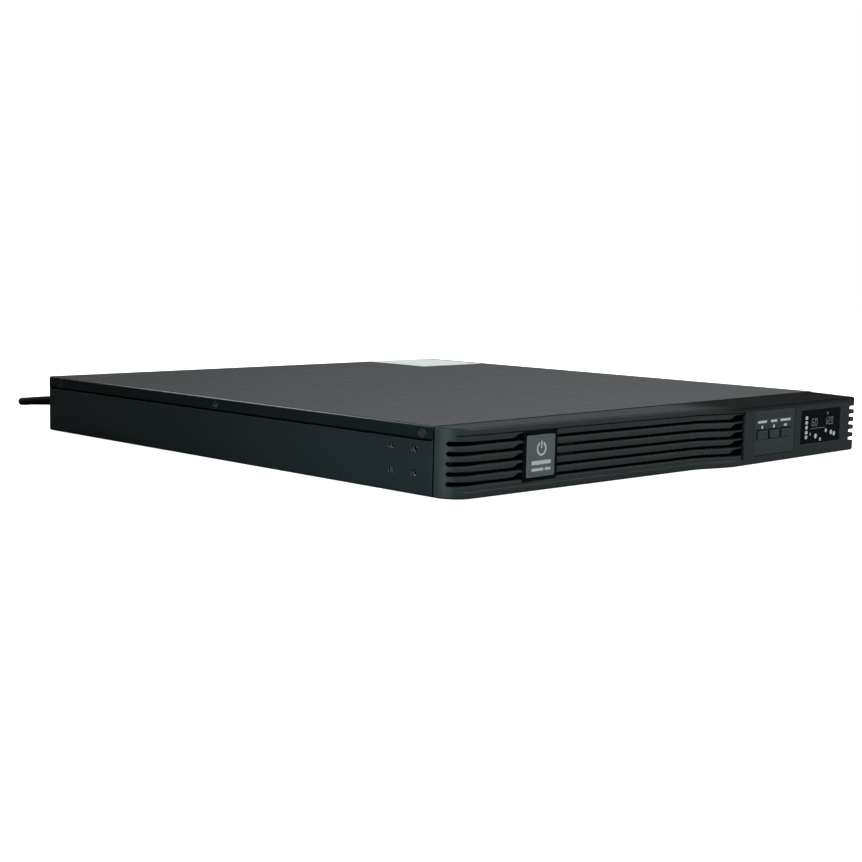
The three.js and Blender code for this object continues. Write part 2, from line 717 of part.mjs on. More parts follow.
function transformerWinding() {
  const over = 3.6;
  const { leg, windowX, windowY, low, high } = CORE;
  const outerX = windowX - GAP;
  const innerX = leg + GAP;
  const halfY = windowY - GAP;
  const coil = block(-outerX, outerX, -halfY, halfY, low - over, high + over);
  return cut(coil, block(-innerX, innerX, -halfY - 1, halfY + 1, low - GAP, high + GAP));
}

function heatsink() {
  const sink = { halfX: 30, halfY: 60, base: 4, height: 27, fins: 10, fin: 1.6 };
  let made = block(-sink.halfX, sink.halfX, -sink.halfY, sink.halfY, 0, sink.base);
  const pitch = (2 * sink.halfX - sink.fin) / (sink.fins - 1);
  for (let i = 0; i < sink.fins; i++) {
    const x = -sink.halfX + i * pitch;
    made = joined(made, block(x, x + sink.fin, -sink.halfY, sink.halfY, sink.base - 1, sink.height));
  }
  return made;
}

function capacitor() {
  const can = { radius: 9, height: 27, rim: 0.8 };
  const profile = [
    [0, 0],
    [can.radius - can.rim, 0],
    [can.radius, can.rim],
    [can.radius, can.height - can.rim],
    [can.radius - can.rim, can.height],
    [0, can.height],
  ];
  return turned(profile, 24);
}

function relay() {
  return block(-14.5, 14.5, -6.5, 6.5, 0, 16);
}

function filterChoke() {
  const ring = { radius: 15, wire: 6 };
  return solidOf(new THREE.TorusGeometry(ring.radius, ring.wire, 8, 20).translate(0, 0, ring.wire));
}

function addElectronics(group) {
  add(group, "main_board", mainBoard(), circuitBoard());
  add(group, "transformer_core", transformerCore(), zincSteel(), 163, 86, 0);
  add(group, "transformer_winding", transformerWinding(), copper(), 163, 86, 0);
  add(group, "heatsink", heatsink(), aluminium(), 60, 240, BOARD_TOP);
  for (const [side, x] of [["left", 115], ["right", 137]]) {
    const can = add(group, `bulk_capacitor_${side}`, capacitor(), blackPlastic(), x, 200, BOARD_TOP);
    can.rotation.x = Math.PI / 2;
  }
  add(group, "relay", relay(), greyPlastic(), 180, 200, BOARD_TOP);
  add(group, "filter_choke", filterChoke(), copper(), 170, 300, BOARD_TOP);
}

// ---- Fans, each with its axis along Y and its rear face at the origin ----
function fanHousing() {
  const half = FAN.size / 2;
  const mount = { radius: 10, thick: 2.5, spoke: 1.2 };
  const inner = -FAN.depth;
  const hub = rodY(0, 0, mount.radius, inner, inner + mount.thick);
  let frame = cut(
    block(-half, half, inner, 0, -half, half),
    rodY(0, 0, FAN.bore, inner - 1, 1, 32),
  );
  frame = joined(frame, hub);
  for (let i = 0; i < 3; i++) {
    const reach = FAN.bore + 0.8;
    const bar = new THREE.BoxGeometry(reach, mount.thick, 2 * mount.spoke);
    bar.translate(reach / 2, inner + mount.thick / 2, 0).rotateY((2 * Math.PI * i) / 3);
    frame = joined(frame, solidOf(bar));
  }
  return frame;
}

function fanRotor() {
  const hub = { radius: 10.5, front: -16.6, back: -3 };
  const blade = { count: 7, reach: 9.5, chord: 15, thick: 1.2, pitch: 0.7, tip: 18.2 };
  const middle = (hub.front + hub.back) / 2;
  let blades = null;
  for (let i = 0; i < blade.count; i++) {
    const one = new THREE.BoxGeometry(blade.reach, blade.thick, blade.chord);
    one.rotateX(blade.pitch).translate(hub.radius + blade.reach / 2 - 1, middle, 0);
    one.rotateY((2 * Math.PI * i) / blade.count);
    const made = solidOf(one);
    blades = blades ? joined(blades, made) : made;
  }
  const sweep = rodY(0, 0, blade.tip, hub.front, hub.back, 28);
  return joined(blades.intersect(sweep), rodY(0, 0, hub.radius, hub.front, hub.back, 24));
}

// Three rings of wire on a cross of four arms, whose ends reach the fan's corner screws.
function fanGuard() {
  const wire = 0.75;
  const out = 1.2;
  const arm = 22.2;
  const eye = { radius: 2.6, front: 0.3, back: 2 };
  let guard = null;
  for (const angle of [Math.PI / 4, -Math.PI / 4]) {
    const bar = new THREE.CylinderGeometry(wire, wire, 2 * arm, 4);
    const made = solidOf(bar.rotateZ(Math.PI / 2).rotateY(angle).translate(0, out, 0));
    guard = guard ? joined(guard, made) : made;
  }
  for (const radius of [6.5, 12, 17.5]) {
    const ring = new THREE.TorusGeometry(radius, wire, 4, 16);
    guard = joined(guard, solidOf(ring.rotateX(Math.PI / 2).translate(0, out, 0)));
  }
  const reach = arm / Math.SQRT2;
  for (const x of [-reach, reach])
    for (const z of [-reach, reach])
      guard = joined(guard, rodY(x, z, eye.radius, eye.front, eye.back, 8));
  return guard;
}

function addFans(rear) {
  for (const [side, x] of Object.entries(FANS_X)) {
    const fan = groupAt(rear, x, 0, FAN.z);
    const inside = -SHEET - GAP;
    add(fan, `fan_housing_${side}`, fanHousing(), blackPlastic(), 0, inside, 0);
    add(fan, `fan_rotor_${side}`, fanRotor(), blackPlastic(), 0, inside, 0);
    add(fan, `fan_guard_${side}`, fanGuard(), zincSteel());
  }
}

// ---- Rear sockets and terminals ----
// Three three-pin receptacles in one moulded block, its face 1.5 mm behind the panel's outside.
function outletBank() {
  const bank = { inside: -30, outside: 1.5, slotDepth: 12 };
  const slots = { apart: 6.35, live: [0.8, 3.2], neutral: [0.9, 4], rise: 3, pinR: 2.5, pinDrop: 7 };
  const middle = (OUTLET.low + OUTLET.high) / 2;
  const half = OUTLET.width / 2;
  const floor = bank.outside - bank.slotDepth;
  let made = block(-half, half, bank.inside, bank.outside, OUTLET.low, OUTLET.high);
  for (const x of [-OUTLET.pitch, 0, OUTLET.pitch]) {
    const z = middle + slots.rise;
    const [liveX, liveZ] = slots.live;
    const [neutralX, neutralZ] = slots.neutral;
    const live = x - slots.apart;
    const neutral = x + slots.apart;
    made = cut(
      made,
      block(live - liveX, live + liveX, floor, 5, z - liveZ, z + liveZ),
      block(neutral - neutralX, neutral + neutralX, floor, 5, z - neutralZ, z + neutralZ),
      rodY(x, middle - slots.pinDrop, slots.pinR, floor, 5, 12),
    );
  }
  return made;
}

const BREAKER_BUSH = { radius: 5.6, bore: 4.3 };

// The resettable breaker: a body inside, and a bush and hexagonal nut that hold it to the panel.
function breakerBody() {
  const body = { half: 9, front: -26, back: -SHEET - GAP, halfHeight: 12 };
  const nut = { radius: 8.5, front: 0.2, back: 3.2 };
  const boreEnd = -17;
  const made = joined(
    block(-body.half, body.half, body.front, body.back, -body.halfHeight, body.halfHeight),
    rodY(0, 0, BREAKER_BUSH.radius, body.back - 1, nut.back + 1),
    rodY(0, 0, nut.radius, nut.front, nut.back, 6),
  );
  return cut(made, rodY(0, 0, BREAKER_BUSH.bore, boreEnd, nut.back + 5));
}

function breakerButton() {
  const button = { radius: 3.8, front: -16, back: 7, dome: 0.9 };
  return turned([
    [0, button.front],
    [button.radius, button.front],
    [button.radius, button.back - button.dome],
    [button.radius - button.dome, button.back],
    [0, button.back],
  ]);
}

const NETWORK = { left: 97, right: 127, low: 9, high: 23 };
const USB = { left: 82, right: 94, low: 24, high: 35 };
const REMOTE = { left: 82, right: 94, low: 8, high: 16 };
const GROUND = { x: 112, z: 32, shaft: 2 };

function networkJack() {
  const jack = { inside: -16, outside: 0.8, floor: -12 };
  const mouth = { half: 5.9, low: NETWORK.low + 2.2, high: NETWORK.high - 2.8, fromMiddle: 7.4 };
  const middle = (NETWORK.left + NETWORK.right) / 2;
  let made = block(NETWORK.left, NETWORK.right, jack.inside, jack.outside, NETWORK.low, NETWORK.high);
  for (const x of [middle - mouth.fromMiddle, middle + mouth.fromMiddle])
    made = cut(made, block(x - mouth.half, x + mouth.half, jack.floor, 5, mouth.low, mouth.high));
  return made;
}

// The square data socket: a shell with a mouth, and a tongue in the middle of it.
function usbPort() {
  const wall = 1.4;
  const tongue = { half: 2.8, halfHeight: 1.6 };
  const x = (USB.left + USB.right) / 2;
  const z = (USB.low + USB.high) / 2;
  const shell = block(USB.left, USB.right, -14, 0.8, USB.low, USB.high);
  const mouth = block(USB.left + wall, USB.right - wall, -10, 5, USB.low + wall, USB.high - wall);
  const inner = block(
    x - tongue.half,
    x + tongue.half,
    -11,
    -1,
    z - tongue.halfHeight,
    z + tongue.halfHeight,
  );
  return joined(cut(shell, mouth), inner);
}

function remoteOffTerminal() {
  const pinHoleR = 1.5;
  const fromMiddle = 2.7;
  const x = (REMOTE.left + REMOTE.right) / 2;
  const z = (REMOTE.low + REMOTE.high) / 2;
  return cut(
    block(REMOTE.left, REMOTE.right, -10, 3, REMOTE.low, REMOTE.high),
    rodY(x - fromMiddle, z, pinHoleR, -4, 5, 10),
    rodY(x + fromMiddle, z, pinHoleR, -4, 5, 10),
  );
}

function groundScrew() {
  const head = { radius: 4, front: 0.3, back: 2.6, slotHalf: 0.5, slotDeep: 1 };
  const screw = joined(
    rodY(0, 0, head.radius, head.front, head.back),
    rodY(0, 0, GROUND.shaft, -8, head.front + 0.5, 12),
  );
  const slot = block(-5, 5, head.back - head.slotDeep, 5, -head.slotHalf, head.slotHalf);
  return cut(screw, slot);
}

// ---- Mains cord ----
const RELIEF = { neck: 6.4, flange: 8.4, bore: 3.8, tip: 5.4, length: 24 };

// A moulded bush with rings that flex; profile of [radius, distance behind the panel].
function cordStrainRelief() {
  const rings = { first: 7, pitch: 5, count: 3, groove: 1.6, depth: 0.9 };
  const inside = { flange: 7.8, front: -5, back: -SHEET - 0.2 };
  const points = [
    [RELIEF.bore, inside.front],
    [inside.flange, inside.front],
    [inside.flange, inside.back],
    [RELIEF.neck, inside.back],
    [RELIEF.neck, 0.3],
    [RELIEF.flange, 0.3],
    [RELIEF.flange, 3],
    [RELIEF.neck + 0.4, 4],
  ];
  for (let i = 0; i < rings.count; i++) {
    const y = rings.first + i * rings.pitch;
    const outside = RELIEF.neck + ((RELIEF.tip - RELIEF.neck) * y) / RELIEF.length;
    points.push([outside, y]);
    points.push([outside - rings.depth, y + 0.2]);
    points.push([outside - rings.depth, y + rings.groove]);
    points.push([outside, y + rings.groove + 0.2]);
  }
  points.push([RELIEF.tip, RELIEF.length]);
  points.push([RELIEF.bore, RELIEF.length]);
  points.push([RELIEF.bore, inside.front]);
  return turned(points, 16);
}

const PLUG = { x: -96, y: 100, z: 10.3 };

// The cord leaves straight back, droops a little and turns to run behind the case.
function powerCord() {
  return tube(
    [
      [CORD.x, -20, CORD.z],
      [CORD.x, 4, CORD.z],
      [CORD.x, 27, CORD.z],
      [CORD.x, 44, 19.4],
      [CORD.x, 60, 17.7],
      [CORD.x, 74, 16],
      [CORD.x + 4.5, 90, 14.4],
      [CORD.x + 18, 98.5, 13.2],
      [CORD.x + 40, PLUG.y, 11.8],
      [PLUG.x - 24, PLUG.y, 10.6],
      [PLUG.x - 0.4, PLUG.y, PLUG.z],
    ],
    CORD.radius,
    36,
    8,
  );
}

// A three-pin plug lying on the table, its pins pointing along +X.
function powerPlug() {
  const body = { length: 34, half: 12.5, halfHeight: 10, neck: 8, neckHalf: 6.5 };
  const blade = { apart: 6.35, half: 0.8, halfHeight: 3.2, reach: 17, rise: 3 };
  const pin = { radius: 2.4, reach: 20, drop: 5.2 };
  let plug = joined(
    block(body.neck - 1, body.length, -body.half, body.half, -body.halfHeight, body.halfHeight),
    block(0, body.neck, -body.neckHalf, body.neckHalf, -body.neckHalf, body.neckHalf),
    rodX(0, -pin.drop, pin.radius, body.length - 1, body.length + pin.reach, 12),
  );
  for (const y of [-blade.apart, blade.apart]) {
    const end = body.length + blade.reach;
    const low = blade.rise - blade.halfHeight;
    const high = blade.rise + blade.halfHeight;
    plug = joined(plug, block(body.length - 1, end, y - blade.half, y + blade.half, low, high));
  }
  return plug;
}

// ---- Assembly ----
const ups = new THREE.Group();
const front = groupAt(ups, 0, FRONT, 0); // places here are measured from the case's front edge
const rear = groupAt(ups, 0, REAR, 0); // and here from its rear edge

add(front, "chassis_tray", chassisTray(), paintedSteel());
add(front, "top_cover", topCover(), paintedSteel());
add(front, "front_plate", frontPlate(), paintedSteel());
add(rear, "rear_panel", rearPanel(), paintedSteel());
add(front, "bay_divider", bayDivider(), zincSteel());
add(front, "top_label", topLabel(), finish(0xd4dad9, 0.5, 0));
addCoverScrews(front);

const bezel = groupAt(front, 0, 0, 0);
add(bezel, "front_bezel", frontBezel(), mouldedPlastic());
add(bezel, "badge_plate", badgePlate(), greyPlastic(), BADGE.x, -faceAt(BADGE.x), BADGE.z);

const controls = groupAt(front, 0, 0, 0);
add(controls, "control_housing", controlHousing(), blackPlastic());
add(controls, "control_fascia", controlFascia(), mouldedPlastic());
["menu_button", "mute_button", "power_button"].forEach((name, index) =>
  add(controls, name, panelButton(), mouldedPlastic(), buttonX(index), 0, BUTTON.z),
);
add(controls, "lcd_window", lcdWindow(), finish(0x08090a, 0.08, 0));
add(controls, "lcd_panel", lcdPanel(), blackPlastic());
add(controls, "display_board", displayBoard(), circuitBoard());
add(controls, "display_ribbon", displayRibbon(), greyPlastic());

const drawer = groupAt(front, 0, 0, 0);
add(drawer, "battery_tray", batteryTray(), paintedSteel());
addBatteryBlocks(drawer);
for (const [side, x] of Object.entries(THUMBSCREWS_X))
  add(drawer, `thumbscrew_${side}`, thumbscrew(), blackScrew(), x, 0, THUMBSCREW_Z);
add(drawer, "pull_handle", pullHandle(), blackPlastic(), DRAWER_MIDDLE_X, 0, 0);
add(drawer, "battery_plug", batteryPlug(), blackPlastic(), DRAWER_MIDDLE_X, 0, 0);

add(front, "battery_socket", batterySocket(), blackPlastic(), DRAWER_MIDDLE_X, 0, 0);
add(front, "battery_cable", batteryCable(), rubber());
addElectronics(front);

addFans(rear);
for (const [side, x] of Object.entries(OUTLETS_X))
  add(rear, `outlet_bank_${side}`, outletBank(), blackPlastic(), x, 0, 0);
add(rear, "breaker_body", breakerBody(), blackPlastic(), BREAKER.x, 0, BREAKER.z);
add(rear, "breaker_button", breakerButton(), blackPlastic(), BREAKER.x, 0, BREAKER.z);
add(rear, "network_jack", networkJack(), blackPlastic());
add(rear, "usb_port", usbPort(), zincSteel());
add(rear, "remote_off_terminal", remoteOffTerminal(), finish(0x2f6b3c, 0.5, 0));
add(rear, "ground_screw", groundScrew(), zincSteel(), GROUND.x, 0, GROUND.z);
add(rear, "cord_strain_relief", cordStrainRelief(), rubber(), CORD.x, 0, CORD.z);
add(rear, "power_cord", powerCord(), rubber());
add(rear, "power_plug", powerPlug(), rubber(), PLUG.x, PLUG.y, PLUG.z);

export default ups;
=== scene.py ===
import math

import bmesh
import bpy
from mathutils import Matrix, Vector


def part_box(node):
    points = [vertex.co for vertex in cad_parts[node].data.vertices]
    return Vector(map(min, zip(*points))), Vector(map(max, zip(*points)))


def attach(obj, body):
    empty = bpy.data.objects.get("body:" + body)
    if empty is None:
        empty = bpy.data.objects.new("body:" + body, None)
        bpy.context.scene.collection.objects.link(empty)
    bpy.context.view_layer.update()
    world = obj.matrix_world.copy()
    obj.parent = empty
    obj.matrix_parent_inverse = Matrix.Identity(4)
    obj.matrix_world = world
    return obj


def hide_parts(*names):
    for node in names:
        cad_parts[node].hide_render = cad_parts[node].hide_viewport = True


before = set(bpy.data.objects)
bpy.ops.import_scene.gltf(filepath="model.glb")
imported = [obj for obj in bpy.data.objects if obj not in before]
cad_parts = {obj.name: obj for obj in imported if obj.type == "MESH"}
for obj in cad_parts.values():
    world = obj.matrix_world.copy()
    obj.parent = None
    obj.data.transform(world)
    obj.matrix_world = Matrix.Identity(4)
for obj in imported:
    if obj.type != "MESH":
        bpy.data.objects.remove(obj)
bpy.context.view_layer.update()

MM = 0.001  # shapes below are drawn in millimetres and scaled to metres when they are placed
scene = bpy.context.scene


# ---------------------------------------------------------------- places from the frame
def box_mm(node):
    low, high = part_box(node)
    return low / MM, high / MM


CASE_LOW, CASE_HIGH = box_mm("chassis_tray")
COVER_LOW, COVER_HIGH = box_mm("top_cover")
FRONT, REAR = CASE_LOW.y, CASE_HIGH.y  # the steel case's front and rear edges
HALF = CASE_HIGH.x
HEIGHT = COVER_HIGH.z
SEAM_Z = COVER_LOW.z
SHEET = 1.2
FOLD = 1.5

# The bezel's plan, as distances in front of the case, and the slots in its face.
LEFT_FRONT, MIDDLE_FRONT, RIGHT_FRONT = 19.1, 29.8, 39.3
LEFT_CORNER, RIGHT_CORNER = 16.5, 3.0
STEP_START, STEP_END = 7.0, 54.0
BEZEL_GAP = 1.3
BEZEL_TOP = HEIGHT - 0.4  # the moulding stands a little lower than the cover
PANEL_DROP = 1.2  # and slopes down by this much towards the front above the control panel
SHELL = 2.5
SLOT_LOW, SLOT_PITCH, SLOT_COUNT, SLOT_GAP, SLOT_SIDE_END = 9.1, 6.1, 5, 1.9, 9.0
GRILLE_BOTTOM, GRILLE_TOP, GRILLE_RIGHT = 4.3, 38.7, 61.0
RIB_RECESS = 1.0
CORNER_SLOTS_LEFT = 209.5
CORNER_SLOT_GAP = 3.1
LEFT_SLOT_SPREAD, LEFT_SPREAD_RUN = 0.9, 32  # the left slots start wider and narrow over this run
POST_PLACES = (-180, -105, -70, -35, 0, 36)
TAB_PLACES = (-190, -50, 40, 207)


# ---------------------------------------------------------------- mesh helpers
def new_object(name, verts, faces):
    mesh = bpy.data.meshes.new(name)
    mesh.from_pydata([tuple(v) for v in verts], [], faces)
    bm = bmesh.new()
    bm.from_mesh(mesh)
    bmesh.ops.recalc_face_normals(bm, faces=bm.faces)
    bm.to_mesh(mesh)
    bm.free()
    obj = bpy.data.objects.new(name, mesh)
    scene.collection.objects.link(obj)
    return obj


def baked(obj):
    graph = bpy.context.evaluated_depsgraph_get()
    mesh = bpy.data.meshes.new_from_object(obj.evaluated_get(graph))
    obj.modifiers.clear()
    obj.data = mesh
    return obj


def boolean(obj, other, operation):
    step = obj.modifiers.new("boolean", "BOOLEAN")
    step.operation = operation
    step.solver = "EXACT"
    step.object = other
    baked(obj)
    bpy.data.objects.remove(other)
    return obj


def cut(obj, *others):
    for other in others:
        boolean(obj, other, "DIFFERENCE")
    return obj


def join(obj, *others):
    for other in others:
        boolean(obj, other, "UNION")
    return obj


def bevelled(obj, width, segments=2, angle=32, clamp=True):
    step = obj.modifiers.new("bevel", "BEVEL")
    step.width = width
    step.segments = segments
    step.limit_method = "ANGLE"
    step.angle_limit = math.radians(angle)
    step.use_clamp_overlap = clamp
    return baked(obj)


def merged(name, objects):
    """One object from several separate shells."""
    bm = bmesh.new()
    for obj in objects:
        bm.from_mesh(obj.data)
        bpy.data.objects.remove(obj)
    mesh = bpy.data.meshes.new(name)
    bm.to_mesh(mesh)
    bm.free()
    made = bpy.data.objects.new(name, mesh)
    scene.collection.objects.link(made)
    return made


def block(x0, x1, y0, y1, z0, z1):
    verts = [(x, y, z) for x in (x0, x1) for y in (y0, y1) for z in (z0, z1)]
    faces = [(0, 1, 3, 2), (4, 6, 7, 5), (0, 4, 5, 1), (2, 3, 7, 6), (0, 2, 6, 4), (1, 5, 7, 3)]
    return new_object("block", verts, faces)


def loft(rings):
    """A closed solid through rings of equal length, capped at both ends."""
    count = len(rings[0])
    verts = [point for ring in rings for point in ring]
    faces = [tuple(range(count)), tuple(range((len(rings) - 1) * count, len(rings) * count))]
    for r in range(len(rings) - 1):
        for i in range(count):
            j = (i + 1) % count
            low, high = r * count, (r + 1) * count
            faces.append((low + i, low + j, high + j, high + i))
    return new_object("loft", verts, faces)


def turned(axis, along, u, v):
    """A point at a distance along an axis, with the other two coordinates in X, Y, Z order."""
    return {"X": (along, u, v), "Y": (u, along, v), "Z": (u, v, along)}[axis]


def rod(axis, centre, radius, start, end, sides=40):
    """A cylinder along an axis; centre holds the other two coordinates in X, Y, Z order."""
    rings = []
    for along in (start, end):
        ring = []
        for i in range(sides):
            a = 2 * math.pi * i / sides
            u, v = centre[0] + radius * math.cos(a), centre[1] + radius * math.sin(a)
            ring.append(turned(axis, along, u, v))
        rings.append(ring)
    return loft(rings)


def lathe(profile, origin, axis, sides):
    """A profile of (radius, distance along the axis), turned about the axis through origin."""
    rings = []
    for radius, along in profile:
        ring = []
        for i in range(sides):
            a = 2 * math.pi * i / sides
            u, v = max(radius, 1e-4) * math.cos(a), max(radius, 1e-4) * math.sin(a)
            ring.append(Vector(origin) + Vector(turned(axis, along, u, v)))
        rings.append(ring)
    return loft(rings)


def ring_lathe(profile, origin, axis, sides):
    """A closed profile turned about an axis it does not touch."""
    count = len(profile)
    verts, faces = [], []
    for i in range(sides):
        a = 2 * math.pi * i / sides
        for radius, along in profile:
            u, v = radius * math.cos(a), radius * math.sin(a)
            verts.append(Vector(origin) + Vector(turned(axis, along, u, v)))
    for i in range(sides):
        for k in range(count):
            here, there = i * count, ((i + 1) % sides) * count
            n = (k + 1) % count
            faces.append((here + k, here + n, there + n, there + k))
    return new_object("ring", verts, faces)


def prism(outline, axis, start, end):
    """An outline of two coordinates in X, Y, Z order, standing along an axis."""
    return loft([[turned(axis, along, u, v) for u, v in outline] for along in (start, end)])


def arc(cx, cy, radius, start, end, steps):
    """Points on a circle between two angles in degrees, both ends included."""
    points = []
    for i in range(steps + 1):
        a = math.radians(start + (end - start) * i / steps)
        points.append((cx + radius * math.cos(a), cy + radius * math.sin(a)))
    return points


def smooth_curve(points, per_span):
    """A centripetal Catmull-Rom curve through the points."""
    pts = [Vector(p) for p in points]
    pts = [2 * pts[0] - pts[1]] + pts + [2 * pts[-1] - pts[-2]]
    out = []
    for i in range(1, len(pts) - 2):
        p0, p1, p2, p3 = pts[i - 1 : i + 3]
        t0 = 0.0
        t1 = t0 + (p1 - p0).length ** 0.5
        t2 = t1 + (p2 - p1).length ** 0.5
        t3 = t2 + (p3 - p2).length ** 0.5
        for k in range(per_span):
            t = t1 + (t2 - t1) * k / per_span
            a1 = p0 * ((t1 - t) / (t1 - t0)) + p1 * ((t - t0) / (t1 - t0))
            a2 = p1 * ((t2 - t) / (t2 - t1)) + p2 * ((t - t1) / (t2 - t1))
            a3 = p2 * ((t3 - t) / (t3 - t2)) + p3 * ((t - t2) / (t3 - t2))
            b1 = a1 * ((t2 - t) / (t2 - t0)) + a2 * ((t - t0) / (t2 - t0))
            b2 = a2 * ((t3 - t) / (t3 - t1)) + a3 * ((t - t1) / (t3 - t1))
            out.append(b1 * ((t2 - t) / (t2 - t1)) + b2 * ((t - t1) / (t2 - t1)))
    out.append(pts[-2])
    return out


def tube(path, radius, sides):
    """A round tube along a path, with frames carried along it so that it does not twist."""
    rings = []
    side = None
    for i, point in enumerate(path):
        ahead = path[min(i + 1, len(path) - 1)]
        behind = path[max(i - 1, 0)]
        way = (ahead - behind).normalized()
        if side is None:
            side = way.orthogonal().normalized()
        side = (side - way * side.dot(way)).normalized()
        up = way.cross(side)
        ring = []
        for k in range(sides):
            a = 2 * math.pi * k / sides
            ring.append(point + side * (radius * math.cos(a)) + up * (radius * math.sin(a)))
        rings.append(ring)
    return loft(rings)


def shade(mesh, angle=38):
    """Smooth faces, with the edges sharper than the angle kept hard."""
    limit = math.radians(angle)
    bm = bmesh.new()
    bm.from_mesh(mesh)
    for face in bm.faces:
        face.smooth = True
    for edge in bm.edges:
        edge.smooth = len(edge.link_faces) == 2 and edge.calc_face_angle(0) < limit
    bm.to_mesh(mesh)
    bm.free()


def placed(obj, name, body, material, replaces=()):
    """Turns a shape drawn in millimetres into a finished piece of the object."""
    obj.name = name
    obj.data.name = name
    obj.data.transform(Matrix.Scale(MM, 4))
    shade(obj.data)
    weighted = obj.modifiers.new("normals", "WEIGHTED_NORMAL")
    weighted.keep_sharp = True
    obj.data.materials.clear()
    obj.data.materials.append(material)
    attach(obj, body)
    if replaces:
        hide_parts(*replaces)
    return obj


# ---------------------------------------------------------------- material helpers
def add_node(tree, kind, **settings):
    node = tree.nodes.new(kind)
    for key, value in settings.items():
        setattr(node, key, value)
    return node


def ramp(tree, value, start, end, low=0.0, high=1.0):
    """A clamped straight ramp: low where the value is at start, high where it is at end."""
    node = tree.nodes.new("ShaderNodeMapRange")
    node.inputs["From Min"].default_value = start
    node.inputs["From Max"].default_value = end
    node.inputs["To Min"].default_value = low
    node.inputs["To Max"].default_value = high
    tree.links.new(value, node.inputs["Value"])
    return node.outputs["Result"]


def combined(tree, operation, first, second):
    node = add_node(tree, "ShaderNodeMath", operation=operation)
    tree.links.new(first, node.inputs[0])
    tree.links.new(second, node.inputs[1])
    return node.outputs["Value"]


def tinted(tree, color, amount, target):
    """The colour, moved towards a fixed target by the amount."""
    node = tree.nodes.new("ShaderNodeMixRGB")
    node.inputs["Color2"].default_value = (*target, 1)
    tree.links.new(color, node.inputs["Color1"])
    tree.links.new(amount, node.inputs["Fac"])
    return node.outputs["Color"]


def blended(tree, value, amount, target):
    """The number, moved towards a fixed target by the amount."""
    node = add_node(tree, "ShaderNodeMix", data_type="FLOAT")
    node.inputs["B"].default_value = target
    tree.links.new(value, node.inputs["A"])
    tree.links.new(amount, node.inputs["Factor"])
    return node.outputs["Result"]


def noise(tree, vector, scale, detail):
    node = tree.nodes.new("ShaderNodeTexNoise")
    node.inputs["Scale"].default_value = scale
    node.inputs["Detail"].default_value = detail
    tree.links.new(vector, node.inputs["Vector"])
    return node.outputs["Fac"]


def split(tree, vector):
    """A vector's X, Y and Z."""
    node = tree.nodes.new("ShaderNodeSeparateXYZ")
    tree.links.new(vector, node.inputs["Vector"])
    return node.outputs


def place_on_object(tree):
    return split(tree, tree.nodes.new("ShaderNodeTexCoord").outputs["Object"])


def way_faced(tree):
    return split(tree, tree.nodes.new("ShaderNodeNewGeometry").outputs["True Normal"])


def fed_by(shader, name):
    """The socket that feeds one of the shader's inputs."""
    return shader.inputs[name].links[0].from_socket


# ---------------------------------------------------------------- materials
PLASTIC_SPECULAR = 0.5
EDGE_RADIUS = 0.0006  # metres: how wide a painted edge highlight and a softened edge look


def surface(
    name,
    color,
    roughness,
    metallic=0.0,
    grain=1800.0,
    grain_depth=0.00002,
    mottle=0.12,
    roughness_spread=0.06,
    coat=0.0,
    edge=0.0,
    stretch=(1.0, 1.0, 1.0),
    specular=PLASTIC_SPECULAR,
    glow=0.0,
):
    """Colour that drifts a little, a fine grain in the bump, uneven gloss, and a painted highlight that
    lightens the edges.
    """
    material = bpy.data.materials.new(name)
    material.use_nodes = True
    tree = material.node_tree
    link = tree.links.new
    shader = tree.nodes["Principled BSDF"]
    shader.inputs["Metallic"].default_value = metallic
    shader.inputs["Coat Weight"].default_value = coat
    shader.inputs["Coat Roughness"].default_value = 0.08
    shader.inputs["Specular IOR Level"].default_value = specular

    scaled = tree.nodes.new("ShaderNodeMapping")
    scaled.inputs["Scale"].default_value = stretch
    link(tree.nodes.new("ShaderNodeTexCoord").outputs["Object"], scaled.inputs["Vector"])
    where = scaled.outputs["Vector"]

    tone = tree.nodes.new("ShaderNodeMixRGB")
    tone.inputs["Color1"].default_value = (*[c * (1 - mottle) for c in color], 1)
    tone.inputs["Color2"].default_value = (*[min(1, c * (1 + mottle)) for c in color], 1)
    link(noise(tree, where, 18, 5), tone.inputs["Fac"])

    bump = tree.nodes.new("ShaderNodeBump")
    bump.inputs["Strength"].default_value = 1.0
    bump.inputs["Distance"].default_value = grain_depth
    link(noise(tree, where, grain, 2), bump.inputs["Height"])
    link(bump.outputs["Normal"], shader.inputs["Normal"])

    low, high = max(0.02, roughness - roughness_spread), min(1, roughness + roughness_spread)
    gloss = ramp(tree, noise(tree, where, 72, 6), 0, 1, low, high)
    link(gloss, shader.inputs["Roughness"])

    last = tone.outputs["Color"]
    # edge sets how strongly rounded edges are lightened: a painted highlight.
    if edge:
        rounded = add_node(tree, "ShaderNodeBevel", samples=6)
        rounded.inputs["Radius"].default_value = EDGE_RADIUS
        link(rounded.outputs["Normal"], bump.inputs["Normal"])
        turn = add_node(tree, "ShaderNodeVectorMath", operation="DOT_PRODUCT")
        link(rounded.outputs["Normal"], turn.inputs[0])
        link(tree.nodes.new("ShaderNodeNewGeometry").outputs["Normal"], turn.inputs[1])
        edge_highlight = ramp(tree, turn.outputs["Value"], 0.995, 0.9, 0, edge)
        last = tinted(tree, last, edge_highlight, [min(1, c * 2.2 + 0.02) for c in color])
    link(last, shader.inputs["Base Color"])
    if glow:
        link(last, shader.inputs["Emission Color"])
        shader.inputs["Emission Strength"].default_value = glow
    return material


